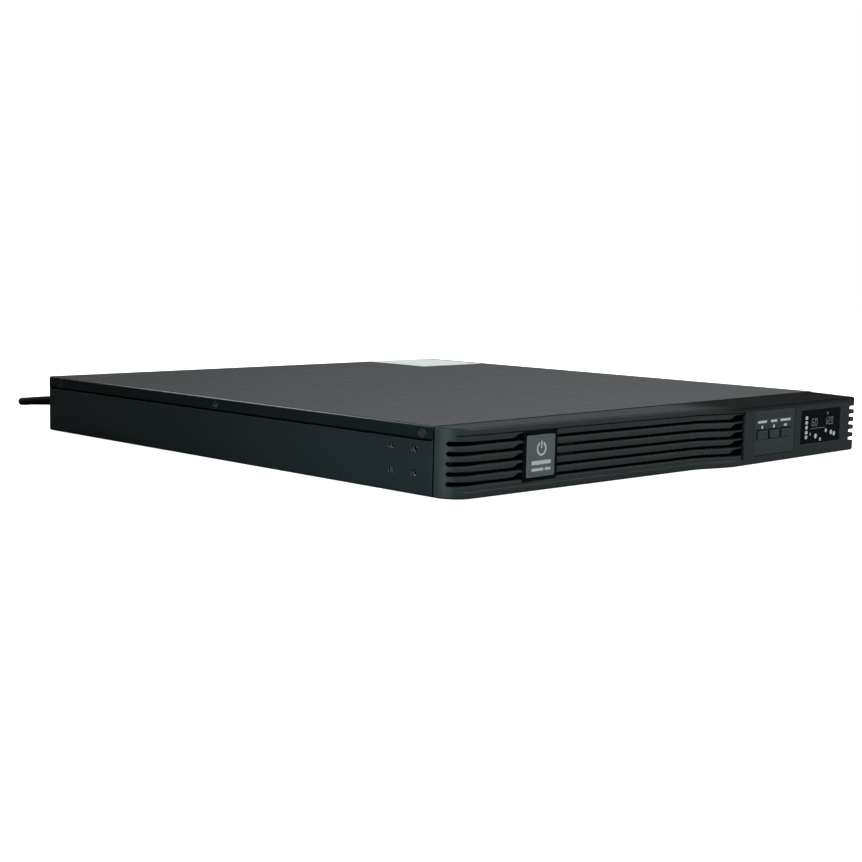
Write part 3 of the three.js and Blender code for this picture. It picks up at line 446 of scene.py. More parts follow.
PAINT = surface("case_paint", (0.013, 0.019, 0.021), 0.46, grain=1500, grain_depth=0.00003, edge=0.5)
ZINC = surface("inner_steel", (0.56, 0.57, 0.58), 0.34, 1.0, grain=500, stretch=(1, 0.05, 1), mottle=0.06)
SCREW = surface("screw_black", (0.060, 0.064, 0.068), 0.3, 0.6, grain=3000, edge=0.7)
BEZEL = surface("bezel_plastic", (0.022, 0.027, 0.028), 0.58, grain=2600, grain_depth=0.00002, edge=0.25)
PANEL = surface("panel_plastic", (0.040, 0.0485, 0.054), 0.52, grain=2600, grain_depth=0.000015, edge=0.2)
BADGE = surface("badge_plastic", (0.150, 0.158, 0.163), 0.42, grain=3000, grain_depth=0.000008)
PRINT = surface("white_print", (0.72, 0.74, 0.74), 0.5, grain=3000, grain_depth=0.000004, mottle=0.05)
LCD_GLASS = surface(
    "lcd_glass", (0.002, 0.0025, 0.003), 0.12,
    grain=40, grain_depth=0.000002, roughness_spread=0.03, specular=0.12,
)
LCD_MARK = surface("lcd_mark", (0.42, 0.45, 0.46), 0.4, grain=3000, mottle=0.06, glow=0.34)
LCD_FAINT = surface("lcd_faint", (0.16, 0.17, 0.18), 0.4, grain=3000, mottle=0.06, glow=0.2)
BLACK = surface("black_plastic", (0.020, 0.020, 0.021), 0.45, grain=2200, grain_depth=0.000015, edge=0.2)
# Near-black paint for the inner plates seen through the slots, darker than the case paint: partly their
# black paint, partly painted shade inside the case.
INSIDE_PAINT_AND_SHADE = surface(
    "inside_paint_and_shade", (0.002, 0.0025, 0.0027), 0.9, grain=1500, grain_depth=0.00003, specular=0.05
)
# Near-black and dull: painted shade for the grille posts behind the slots and for the badge pocket's
# lining.
PAINTED_SHADE_BLACK = surface(
    "painted_shade_black", (0.0025, 0.003, 0.0033), 0.85, grain=2200, grain_depth=0.000015, specular=0.1
)
BATTERY = surface("battery_case", (0.030, 0.030, 0.033), 0.5, grain=900, grain_depth=0.00004)
THREAD = surface("pressed_nut", (0.18, 0.19, 0.195), 0.5, 0.2, grain=2500, grain_depth=0.00004)
COPPER = surface("copper_winding", (0.52, 0.21, 0.08), 0.3, 1.0, grain=900, grain_depth=0.00015)
CORE = surface("core_steel", (0.15, 0.15, 0.16), 0.5, 0.8, grain=700, stretch=(0.05, 0.05, 4))
ALUMINIUM = surface("bare_aluminium", (0.68, 0.69, 0.70), 0.3, 1.0, grain=900, stretch=(1, 0.04, 1))
RELAY = surface("relay_case", (0.035, 0.06, 0.11), 0.35, grain=2000)
RIBBON = surface("ribbon", (0.42, 0.42, 0.43), 0.4, grain=900, stretch=(4, 0.05, 0.05), grain_depth=0.0002)
LABEL = surface("label_stock", (0.84, 0.87, 0.865), 0.38, grain=1200, grain_depth=0.000006, mottle=0.03)
CORD = surface("cord_rubber", (0.003, 0.003, 0.0035), 0.8, specular=0.12, grain=1400, grain_depth=0.00003)
GREEN = surface("terminal_green", (0.03, 0.17, 0.06), 0.4, grain=2000)
WIRE = surface("guard_wire", (0.62, 0.63, 0.65), 0.22, 1.0, grain=1500, mottle=0.05)
SHELL_METAL = surface("connector_shell", (0.60, 0.61, 0.62), 0.28, 1.0, grain=1500)


def circuit_board():
    """Green solder mask with a pattern of lighter tracks in it."""
    material = surface("circuit_board", (0.012, 0.075, 0.03), 0.3, grain=1500, coat=0.3)
    tree = material.node_tree
    shader = tree.nodes["Principled BSDF"]
    tracks = tree.nodes.new("ShaderNodeTexBrick")
    tracks.inputs["Scale"].default_value = 90
    tracks.inputs["Mortar Size"].default_value = 0.035
    tracks.inputs["Color1"].default_value = (0, 0, 0, 1)
    tracks.inputs["Color2"].default_value = (0, 0, 0, 1)
    tracks.inputs["Mortar"].default_value = (1, 1, 1, 1)
    tree.links.new(tree.nodes.new("ShaderNodeTexCoord").outputs["Object"], tracks.inputs["Vector"])
    color = tinted(tree, fed_by(shader, "Base Color"), tracks.outputs["Color"], (0.05, 0.20, 0.07))
    tree.links.new(color, shader.inputs["Base Color"])
    return material


BOARD = circuit_board()


def case_paint_over_folds():
    """The case paint: smoother on the folds, with painted shade darkening and dulling the cover's skirt and
    the inside of the seam.
    """
    material = PAINT.copy()
    material.name = "case_paint_folded_and_shaded"
    tree = material.node_tree
    link = tree.links.new
    shader = tree.nodes["Principled BSDF"]
    place = place_on_object(tree)
    upward = way_faced(tree)["Z"]

    fold = combined(tree, "MULTIPLY", ramp(tree, upward, 0.25, 0.5), ramp(tree, upward, 0.985, 0.96))
    link(blended(tree, fed_by(shader, "Roughness"), fold, 0.2), shader.inputs["Roughness"])

    # Painted shade inside the seam: near-black, with little specular.
    side = add_node(tree, "ShaderNodeMath", operation="ABSOLUTE")
    link(place["X"], side.inputs[0])
    sunk = ramp(tree, side.outputs["Value"], (HALF - 0.3) * MM, (HALF - 0.9) * MM)
    below = ramp(tree, place["Z"], (HEIGHT - 1.9) * MM, (HEIGHT - 2.2) * MM)
    seam_painted_shade = combined(tree, "MULTIPLY", sunk, below)
    # Painted shade on the upright faces above the seam, the cover's skirt.
    skirt = ramp(tree, place["Z"], (SEAM_Z + 0.8) * MM, (SEAM_Z + 1.1) * MM, 0, 0.5)
    shaded = combined(tree, "MULTIPLY", skirt, ramp(tree, upward, 0.4, 0.2))
    dark = combined(tree, "MAXIMUM", seam_painted_shade, shaded)
    color = tinted(tree, fed_by(shader, "Base Color"), dark, (0.002, 0.002, 0.002))
    link(color, shader.inputs["Base Color"])
    link(ramp(tree, dark, 0, 0.8, PLASTIC_SPECULAR, 0.05), shader.inputs["Specular IOR Level"])
    return material


CASE_PAINT = case_paint_over_folds()


def darken_bezel_top():
    """Painted shade on the moulding: its upward faces are darker and duller, most over the control panel,
    where a band under the top edge of the face is darkened too.
    """
    tree = BEZEL.node_tree
    link = tree.links.new
    shader = tree.nodes["Principled BSDF"]
    place = place_on_object(tree)
    step = (STEP_START * MM, STEP_END * MM)
    edge = BEZEL_TOP - PANEL_DROP

    upward = ramp(tree, way_faced(tree)["Z"], 0.25, 0.6)
    top = combined(tree, "MULTIPLY", upward, ramp(tree, place["X"], *step, 0.4))
    # Painted shade: a band under the top edge of the face over the control panel.
    high = ramp(tree, place["Z"], (edge - 4.5) * MM, (edge - 0.8) * MM, 0, 0.75)
    rim_painted_shade = combined(tree, "MULTIPLY", high, ramp(tree, place["X"], *step))
    dark = combined(tree, "MAXIMUM", top, rim_painted_shade)
    color = tinted(tree, fed_by(shader, "Base Color"), dark, (0.004, 0.005, 0.0055))
    link(color, shader.inputs["Base Color"])
    link(ramp(tree, dark, 0, 1, PLASTIC_SPECULAR, 0.1), shader.inputs["Specular IOR Level"])
    link(blended(tree, fed_by(shader, "Roughness"), dark, 1.0), shader.inputs["Roughness"])


darken_bezel_top()


# ---------------------------------------------------------------- bezel
def face_at(x):
    """How far in front of the case the bezel's outer face stands at x, away from the corners."""
    slope = (MIDDLE_FRONT - LEFT_FRONT) / (STEP_START + HALF - LEFT_CORNER)
    if x <= STEP_START:
        return MIDDLE_FRONT + slope * (x - STEP_START)
    t = min(1.0, (x - STEP_START) / (STEP_END - STEP_START))
    return MIDDLE_FRONT + (RIGHT_FRONT - MIDDLE_FRONT) * (1 - math.cos(math.pi * t)) / 2


def bezel_outline(inset, back):
    """The bezel in plan: (x, y) points from its rear left to its rear right."""
    points = [(-HALF + inset, FRONT + back)]
    left_y, right_y = FRONT - LEFT_FRONT + LEFT_CORNER, FRONT - RIGHT_FRONT + RIGHT_CORNER
    points += arc(-HALF + LEFT_CORNER, left_y, LEFT_CORNER - inset, 180, 270, 24)
    steps = 28
    for i in range(steps + 1):
        x = STEP_START + (STEP_END - STEP_START) * i / steps
        points.append((x, FRONT - face_at(x) + inset))
    points += arc(HALF - RIGHT_CORNER, right_y, RIGHT_CORNER - inset, 270, 360, 20)
    points.append((HALF - inset, FRONT + back))
    return points


def closed_outline(inset):
    """The outline and, along the rear edge, one point for each of its points, in reverse."""
    front = bezel_outline(inset, -BEZEL_GAP)
    last = len(front) - 1
    reach = 2 * (HALF - inset)
    rear = [(-HALF + inset + reach * i / last, FRONT - BEZEL_GAP) for i in range(last - 1, 0, -1)]
    return front + rear


def ribbon_loft(rings):
    """A loft whose end caps are strips of four-sided faces, so that they may be gently curved."""
    count = len(rings[0])
    half = count // 2
    verts = [point for ring in rings for point in ring]
    faces = []
    for r in range(len(rings) - 1):
        for i in range(count):
            j = (i + 1) % count
            faces.append((r * count + i, r * count + j, (r + 1) * count + j, (r + 1) * count + i))
    for start in (0, (len(rings) - 1) * count):
        faces.append((start, start + 1, start + count - 1))
        faces.append((start + half - 1, start + half, start + half + 1))
        for i in range(1, half - 1):
            faces.append((start + i, start + i + 1, start + count - i - 1, start + count - i))
    return new_object("loft", verts, faces)


def face_stations(x_start, x_end, spacing):
    """Points and outward normals along the bezel's face between two x values."""
    stations = []
    count = max(1, round((x_end - x_start) / spacing))
    for i in range(count + 1):
        x = x_start + (x_end - x_start) * i / count
        rise = (face_at(x + 0.05) - face_at(x - 0.05)) / 0.1
        normal = Vector((-rise, -1)).normalized()
        stations.append((x, FRONT - face_at(x), normal.x, normal.y))
    return stations


def corner_stations(cx, cy, radius, start, end, steps):
    stations = []
    for i in range(steps + 1):
        a = math.radians(start + (end - start) * i / steps)
        nx, ny = math.cos(a), math.sin(a)
        stations.append((cx + radius * nx, cy + radius * ny, nx, ny))
    return stations


def swept(stations, profile_at):
    """A profile of (depth behind the face, z) carried along the face."""
    rings = []
    for x, y, nx, ny in stations:
        rings.append([(x - depth * nx, y - depth * ny, z) for depth, z in profile_at(ny)])
    return loft(rings)


def smoothstep(t):
    t = min(1.0, max(0.0, t))
    return t * t * (3 - 2 * t)


def recess_at(ny):
    """Depth of the grille behind the face: nothing on the side, full once the corner is turned."""
    turned = math.degrees(math.asin(min(1.0, -ny)))
    return -0.3 + (RIB_RECESS + 0.3) * smoothstep((turned - 38) / 30)


BADGE_LOW, BADGE_HIGH = box_mm("badge_plate")
BADGE_MIDDLE = ((BADGE_LOW.x + BADGE_HIGH.x) / 2, (BADGE_LOW.z + BADGE_HIGH.z) / 2)
BADGE_BORDER = 2.6
POCKET_HALF = (BADGE_HIGH.x - BADGE_LOW.x) / 2 + BADGE_BORDER

# Towards its right-hand end each slot opens upwards: (end x, length, rise, share of the length that ramps).
FLARES = [
    (BADGE_MIDDLE[0] - POCKET_HALF, 9.0, 2.4, 0.7),
    (GRILLE_RIGHT, 17.0, 2.6, 0.35),
]


def flare_at(x):
    for end, length, rise, ramp in FLARES:
        if end - length < x <= end:
            return rise * smoothstep((x - end + length) / (length * ramp))
    return 0.0


def grille_run():
    """Stations from the left side round the corner to the control panel."""
    cx, cy = -HALF + LEFT_CORNER, FRONT - LEFT_FRONT + LEFT_CORNER
    run = corner_stations(cx, cy, LEFT_CORNER, 188, 269, 34)
    run += face_stations(-HALF + LEFT_CORNER + 1, STEP_START - 0.5, 1.6)
    return run + face_stations(STEP_START + 0.5, GRILLE_RIGHT, 1.0)


BROW = 1.0  # radius of each slat's upper front edge
LIP = 0.25  # chamfer of its lower front edge


def slot_cutter(stations, index, blind_start, spread=0.0, spread_run=None):
    """A slot along the face. It is wider at the front, which rounds the brow of the slat below."""
    middle = SLOT_LOW + index * SLOT_PITCH
    rings = []
    first = Vector(stations[0][:2])
    for x, y, nx, ny in stations:
        opening, grown = 1.0, 1.0
        if blind_start:
            along = (Vector((x, y)) - first).length
            opening = smoothstep((along + 0.3) / 1.6)
            grown = smoothstep(along / 10)
        brow = 0.15 + (BROW - 0.15) * grown
        extra = spread
        if spread_run:
            extra *= 1 - smoothstep((Vector((x, y)) - first).length / spread_run)
        half = (SLOT_GAP + extra) / 2 * opening
        face = max(0.0, recess_at(ny))
        low, high = middle - half, middle + half + flare_at(x)
        section = [(face - 2, low - brow)]
        section += [(face + brow + a, low - brow + b) for a, b in arc(0, 0, brow, 180, 90, 5)]
        section += [(face + 7, low), (face + 7, high), (face + LIP, high)]
        section += [(face, high + LIP), (face - 2, high + LIP)]
        rings.append([(x - depth * nx, y - depth * ny, z) for depth, z in section])
    return loft(rings)


def corner_slot(index):
    """A slot through the right corner, with rounded ends on the front and on the side."""
    middle = SLOT_LOW + index * SLOT_PITCH
    half = CORNER_SLOT_GAP / 2
    low, high = middle - half, middle + half
    past = 30
    front = FRONT - RIGHT_FRONT - past
    face = rounded_rectangle(CORNER_SLOTS_LEFT, HALF + past, low, high, half * 0.9)
    side = rounded_rectangle(front, FRONT - SLOT_SIDE_END, low - 0.01, high + 0.01, half * 0.9)
    cutter = prism(face, "Y", front + 5, FRONT)
    return boolean(cutter, prism(side, "X", CORNER_SLOTS_LEFT - 5, HALF + past - 5), "INTERSECT")


def slot_cutters():
    """Every slot: left of the badge, right of it up to the control panel, and round the right corner."""
    whole = grille_run()
    left_edge, right_edge = BADGE_MIDDLE[0] - POCKET_HALF, BADGE_MIDDLE[0] + POCKET_HALF
    side = FRONT - SLOT_SIDE_END
    left = [s for s in whole if s[1] < side and s[0] < left_edge]
    left.append((left_edge + 0.6, FRONT - face_at(left_edge + 0.6), 0, -1))
    right = face_stations(right_edge - 0.6, STEP_START - 0.5, 1.6)
    right += face_stations(STEP_START + 0.5, GRILLE_RIGHT - 1, 1.0)
    cutters = []
    for i in range(SLOT_COUNT):
        cutters.append(slot_cutter(left, i, True, LEFT_SLOT_SPREAD, LEFT_SPREAD_RUN))
        cutters.append(slot_cutter(right, i, False))
        cutters.append(corner_slot(i))
    return merged("slots", cutters)


def bezel_frame():
    """The shell without its slats: a rounded loft, hollowed, with the windows cut through it."""
    radius = 1.3
    rings = []
    for top, turn in [(0, 0), (0, 30), (0, 60), (0, 90), (1, 90), (1, 60), (1, 30), (1, 0)]:
        a = math.radians(turn)
        inset = radius * (1 - math.sin(a))
        lift = radius * (1 - math.cos(a))
        ring = []
        for x, y in closed_outline(inset):
            forward = (FRONT - y) / RIGHT_FRONT
            drop = PANEL_DROP * smoothstep((x - STEP_START) / (STEP_END - STEP_START)) * forward
            ring.append((x, y, BEZEL_TOP - drop - lift if top else lift))
        rings.append(ring)
    shell = ribbon_loft(rings)
    cavity = prism(bezel_outline(SHELL, 12), "Z", SHELL, HEIGHT - SHELL)

    far = FRONT - RIGHT_FRONT - 15
    windows = []
    clearance = 0.3
    for node in ("control_fascia", "lcd_window"):
        a, b = box_mm(node)
        x0, x1 = a.x - clearance, b.x + clearance
        windows.append(block(x0, x1, far, FRONT - MIDDLE_FRONT, a.z - clearance, b.z + clearance))

    groove = 0.7  # a narrow shadow gap under the upper strip

    def band(ny):
        front = recess_at(ny)
        deep = front + 1.1 if front > 0 else front
        knee = GRILLE_TOP - groove
        section = [(-8, GRILLE_BOTTOM), (front, GRILLE_BOTTOM), (front, knee), (deep, knee)]
        return section + [(deep, GRILLE_TOP), (-8, GRILLE_TOP)]

    cut(shell, cavity, swept(grille_run(), band), *windows)
    return shell


def build_bezel():
    bezel = bezel_frame()
    x, z = BADGE_MIDDLE
    half, reach = POCKET_HALF, POCKET_HALF + 1.2
    floor = BADGE_HIGH.y + 0.3
    boss = block(x - reach, x + reach, BADGE_LOW.y + 2.4, floor + 2, z - reach, z + reach)
    pocket = block(x - half, x + half, FRONT - 60, floor, z - half, z + half)
    join(bezel, boss)
    cut(bezel, pocket, slot_cutters())
    end_gap = 2.2  # the slats stop short of the control panel's side
    front = FRONT - RIGHT_FRONT
    left = GRILLE_RIGHT - end_gap
    slit = block(left, GRILLE_RIGHT, front - 5, front + 6, GRILLE_BOTTOM, GRILLE_TOP - 0.02)
    cut(bezel, slit)

    posts = []
    for x in POST_PLACES:
        inner = FRONT - face_at(x) + SHELL
        posts.append(block(x - 0.8, x + 0.8, inner + 0.02, inner + 4, SHELL - 0.5, HEIGHT - SHELL + 0.5))
    # The posts are near-black: painted shade behind the slots.
    placed(merged("posts", posts), "grille_posts", "bezel", PAINTED_SHADE_BLACK)

    tabs = []
    for x in TAB_PLACES:
        tabs.append(block(x - 6, x + 6, FRONT - 10, FRONT + 5, 39.6, 41.3))
    join(bezel, merged("tabs", tabs))
    placed(bezel, "bezel_shell", "bezel", BEZEL, ["front_bezel"])


# ---------------------------------------------------------------- thin printed marks
def marks(name, shapes, y, body, material, thickness=0.08):
    """Flat shapes of (x, z) points standing a hair proud of the plane y, facing -Y."""
    parts = [prism(shape, "Y", y - thickness, y + thickness / 2) for shape in shapes]
    return placed(merged(name, parts), name, body, material)


def rectangle(x0, x1, z0, z1):
    return [(x0, z0), (x1, z0), (x1, z1), (x0, z1)]


def rounded_rectangle(x0, x1, z0, z1, radius):
    points = arc(x0 + radius, z0 + radius, radius, 180, 270, 5)
    points += arc(x1 - radius, z0 + radius, radius, 270, 360, 5)
    points += arc(x1 - radius, z1 - radius, radius, 0, 90, 5)
    points += arc(x0 + radius, z1 - radius, radius, 90, 180, 5)
    return points


SEGMENTS = {
    "0": "abcdef", "1": "bc", "2": "abged", "3": "abgcd", "4": "fgbc",
    "5": "afgcd", "6": "afgedc", "7": "abc", "8": "abcdefg", "9": "abfgcd",
}


def digit(figure, x, z, width, height, stroke):
    """The bars of one seven-segment figure whose lower left corner is at (x, z)."""
    gap = 0.12
    middle = z + height / 2
    half = stroke / 2
    bars = {
        "a": (x + half + gap, x + width - half - gap, z + height - stroke, z + height),
        "d": (x + half + gap, x + width - half - gap, z, z + stroke),
        "g": (x + half + gap, x + width - half - gap, middle - half, middle + half),
        "f": (x, x + stroke, middle + gap, z + height - half - gap),
        "b": (x + width - stroke, x + width, middle + gap, z + height - half - gap),
        "e": (x, x + stroke, z + half + gap, middle - gap),
        "c": (x + width - stroke, x + width, z + half + gap, middle - gap),
    }
    return [rectangle(*bars[s]) for s in SEGMENTS[figure]]


def build_badge():
    low, high = BADGE_LOW, BADGE_HIGH
    x, z = BADGE_MIDDLE
    half = POCKET_HALF - BADGE_BORDER
    face = low.y + 0.3
    outline = rounded_rectangle(x - half, x + half, z - half, z + half, 0.9)
    plate = bevelled(prism(outline, "Y", face, high.y), 0.35, 3, 40)
    placed(plate, "badge_plate_face", "bezel", BADGE, ["badge_plate"])

    # A near-black lining in the pocket, painted shade, shows all round the plate.
    outer, inner = POCKET_HALF - 0.15, half + 0.35
    pocket_shade = block(x - outer, x + outer, face + 0.9, high.y + 0.2, z - outer, z + outer)
    opening = block(x - inner, x + inner, face - 5, high.y + 5, z - inner, z + inner)
    cut(pocket_shade, opening)
    bevelled(pocket_shade, 0.2, 2, 40, clamp=False)
    placed(pocket_shade, "badge_pocket_shade", "bezel", PAINTED_SHADE_BLACK)

    # A generic power icon: a ring with a gap at the top and a bar through the gap.
    centre = z + 4.6
    outer, inner = 4.6, 3.3
    ring = arc(x, centre, outer, 118, 422, 36) + arc(x, centre, inner, 422, 118, 36)
    stem = rounded_rectangle(x - 0.65, x + 0.65, centre + 0.2, centre + outer + 0.5, 0.5)
    bars = [
        rounded_rectangle(x - 9.2, x + 9.2, z - 5.4, z - 2.9, 0.5),
        rounded_rectangle(x - 9.2, x + 2.2, z - 9.4, z - 7.6, 0.5),
        rounded_rectangle(x + 3.6, x + 9.2, z - 9.4, z - 7.6, 0.5),
    ]
    marks("badge_print", [ring, stem] + bars, face, "bezel", PRINT)


# ---------------------------------------------------------------- control panel
KEYS = {"menu_button": 11.8, "mute_button": 8.6, "power_button": 14.2}  # key: width of the bar over it
KEY_FLANGE = 1.1
KEY_BAR_Z = (29.5, 31.3)
KEY_ICONS = {  # key: half width, bottom, top and corner radius of the icon over it
    "menu_button": (1.3, 25.2, 27.7, 1.1),
    "mute_button": (1.3, 25.2, 27.7, 1.1),
    "power_button": (2.2, 25.6, 27.4, 0.85),
}


def build_fascia():
    """The plate round the keys, with deep gaps on the hinge sides of each key."""
    low, high = box_mm("control_fascia")
    plate = block(low.x, high.x, low.y, high.y, low.z, high.z)
    holes = []
    for node in KEYS:
        a, b = box_mm(node)
        x0, x1 = a.x + KEY_FLANGE - 1.8, b.x - KEY_FLANGE + 0.3
        z0, z1 = a.z + KEY_FLANGE - 0.3, b.z - KEY_FLANGE + 0.9
        holes.append(block(x0, x1, low.y - 5, high.y + 5, z0, z1))
    cut(plate, merged("holes", holes))
    bevelled(plate, 0.3, 3, 40, clamp=False)
    placed(plate, "fascia_plate", "case", PANEL, ["control_fascia"])


def build_fascia_marks():
    """Plain bars and dots over the keys."""
    face = box_mm("control_fascia")[0].y
    bars, icons = [], []
    for node, width in KEYS.items():
        a, b = box_mm(node)
        x = (a.x + b.x) / 2 - 0.8
        bars.append(rounded_rectangle(x - width / 2, x + width / 2, *KEY_BAR_Z, 0.5))
        half, bottom, top, radius = KEY_ICONS[node]
        icons.append(rounded_rectangle(x - half, x + half, bottom, top, radius))
    marks("fascia_print", bars + icons, face, "case", PRINT)


# Lamps in the display: place across and up the window as shares of its size, and radius.
LAMPS = [(0.65, 0.33, 1.5), (0.79, 0.25, 1.8), (0.87, 0.20, 1.7), (0.39, 0.19, 1.9), (0.51, 0.08, 1.3)]


def build_display():
    """Five load bars, two small readings and a row of lamps, all generic."""
    low, high = box_mm("lcd_window")
    x, z = low.x, low.z
    wide, tall = high.x - low.x, high.z - low.z
    bright, faint = [], []
    for i in range(5):
        z0 = z + tall * (0.135 + 0.147 * i)
        bright.append(rounded_rectangle(x + wide * 0.115, x + wide * 0.18, z0, z0 + tall * 0.105, 1.1))
    for start, figures in ((0.28, "60"), (0.61, "120")):
        for i, figure in enumerate(figures):
            faint += digit(figure, x + wide * start + i * 4.6, z + tall * 0.5, 3.6, 6.0, 0.75)
    faint.append(rectangle(x + wide * 0.25, x + wide * 0.62, z + tall * 0.425, z + tall * 0.44))
    faint.append(arc(x + wide * 0.68, z + tall * 0.87, 1.1, 0, 345, 20))
    faint.append(arc(x + wide * 0.25, z + tall * 0.27, 1.3, 0, 345, 20))
    for across, up, radius in LAMPS:
        bright.append(arc(x + wide * across, z + tall * up, radius, 0, 345, 24))
    marks("display_lamps", bright, low.y, "case", LCD_MARK)
    marks("display_readings", faint, low.y, "case", LCD_FAINT)


# ---------------------------------------------------------------- case
STEP_IN = SHEET + 0.2  # how far the tray's upper wall steps in behind the skirt
SEAM_LOW, SEAM_HIGH = SEAM_Z + 0.1, SEAM_Z + 1.5  # the gap between the tray and the skirt, a dark line from its real shadow and from painted shade in the case paint
EAR_HOLES_Y, EAR_HOLES_Z = (15.6, 35.6), (13.3, 28.3)
SIDES = (-1, 1)


def ear_holes():
    """Side, y and z of each of the eight ear holes."""
    return [(side, FRONT + y, z) for side in SIDES for y in EAR_HOLES_Y for z in EAR_HOLES_Z]


def tray_outline():
    top = CASE_HIGH.z
    right = arc(HALF - FOLD, FOLD, FOLD, 270, 360, 8)
    right += [
        (HALF, SEAM_LOW), (HALF - STEP_IN, SEAM_LOW), (HALF - STEP_IN, top),
        (HALF - STEP_IN - SHEET, top), (HALF - STEP_IN - SHEET, SEAM_LOW - SHEET),
        (HALF - SHEET, SEAM_LOW - SHEET), (HALF - SHEET, SHEET),
    ]
    return right + [(-x, z) for x, z in reversed(right)]


def cover_outline():
    right = [(HALF - SHEET, SEAM_HIGH), (HALF, SEAM_HIGH)]
    right += arc(HALF - FOLD, HEIGHT - FOLD, FOLD, 0, 90, 8)
    left = [(-x, z) for x, z in reversed(right)]
    return right + left + [(-HALF + SHEET, HEIGHT - SHEET), (HALF - SHEET, HEIGHT - SHEET)]


SCREWS = [f"cover_screw_{side}_{end}" for side in ("left", "right") for end in ("front", "middle", "rear")]


def screw_centre(node):
    low, high = box_mm(node)
    return (low + high) / 2


def screw_holes(radius, inside, sides):
    """Cutters for the six screws in the side walls."""
    holes = []
    for node in SCREWS:
        c = screw_centre(node)
        side = 1 if c.x > 0 else -1
        holes.append(rod("X", (c.y, c.z), radius, side * (HALF - inside), side * (HALF + 5), sides))
    return holes


def build_tray():
    tray = prism(tray_outline(), "Y", FRONT, REAR)
    wall = [
        (0, HALF - 5), (2.1, HALF - 5), (2.1, HALF - 0.5),
        (2.45, HALF - 0.1), (2.45, HALF + 5), (0, HALF + 5),
    ]
    holes = []
    for side, y, z in ear_holes():
        holes.append(lathe([(radius, side * along) for radius, along in wall], (0, y, z), "X", 32))
    cut(tray, merged("holes", holes + screw_holes(1.9, 6, 24)))

    standoffs = []
    low, high = box_mm("main_board")
    for x in (low.x + 9, high.x - 9):
        for y in (low.y + 9, high.y - 9):
            standoffs.append(rod("Z", (x, y), 3, SHEET / 2, low.z - 0.3, 6))
    join(tray, merged("standoffs", standoffs))

    ends = []
    for side in SIDES:
        for y in (FRONT + 0.05, REAR - 1.25):
            x0, x1 = sorted((side * (HALF - STEP_IN - 0.1), side * (HALF - 0.15)))
            ends.append(block(x0, x1, y, y + 1.2, SEAM_LOW - 0.7, SEAM_HIGH + 0.2))
    join(tray, merged("seam_ends", ends))
    bevelled(tray, 0.2, 2, 40, clamp=False)
    placed(tray, "case_tray_sheet", "case", CASE_PAINT, ["chassis_tray"])


def build_pressed_nuts():
    """A threaded collar behind each ear hole."""
    inner, outer = HALF - SHEET - 3.0, HALF - SHEET - 0.05
    profile = [(1.75, inner), (3.2, inner), (3.2, outer), (2.0, outer), (1.75, outer - 0.25)]
    collars = []
    for side, y, z in ear_holes():
        turned_profile = [(radius, side * along) for radius, along in profile]
        collars.append(ring_lathe(turned_profile, (0, y, z), "X", 32))
    placed(merged("collars", collars), "ear_hole_threads", "case", THREAD)


def build_cover():
    cover = prism(cover_outline(), "Y", FRONT, REAR)
    c = screw_centre("cover_screw_centre")
    top_hole = rod("Z", (c.x, c.y), 3.3, HEIGHT - 5, HEIGHT + 5, 40)
    cut(cover, merged("holes", screw_holes(3.3, 5, 40) + [top_hole]))
    bevelled(cover, 0.2, 2, 40, clamp=False)
    placed(cover, "cover_sheet", "case", CASE_PAINT, ["top_cover"])


def build_screw(node, axis, sign):
    """A countersunk screw with a cross recess; its head faces along sign times the axis."""
    low, high = box_mm(node)
    c = (low + high) / 2
    index = "XYZ".index(axis)
    face = (high if sign > 0 else low)[index]
    origin = Vector(c)
    origin[index] = 0
    profile = [
        (0, face - sign * 4.5), (1.3, face - sign * 4.5), (1.4, face - sign * 1.0),
        (2.85, face - sign * 0.75), (3.0, face - sign * 0.45), (3.0, face - sign * 0.12),
        (2.88, face), (0, face),
    ]
    screw = lathe(profile, origin, axis, 48)
    recess = []
    for wide, tall in ((1.9, 0.42), (0.42, 1.9)):
        sizes = {"X": (0, wide, tall), "Y": (wide, 0, tall), "Z": (wide, tall, 0)}[axis]
        a, b = [origin[k] - sizes[k] for k in range(3)], [origin[k] + sizes[k] for k in range(3)]
        a[index], b[index] = sorted((face - sign * 0.7, face + sign * 1.0))
        recess.append(block(a[0], b[0], a[1], b[1], a[2], b[2]))
    cut(screw, *recess)
    placed(screw, node + "_detail", "case", SCREW, [node])


def build_cover_screws():
    for node in SCREWS:
        build_screw(node, "X", 1 if "right" in node else -1)
    build_screw("cover_screw_centre", "Z", 1)


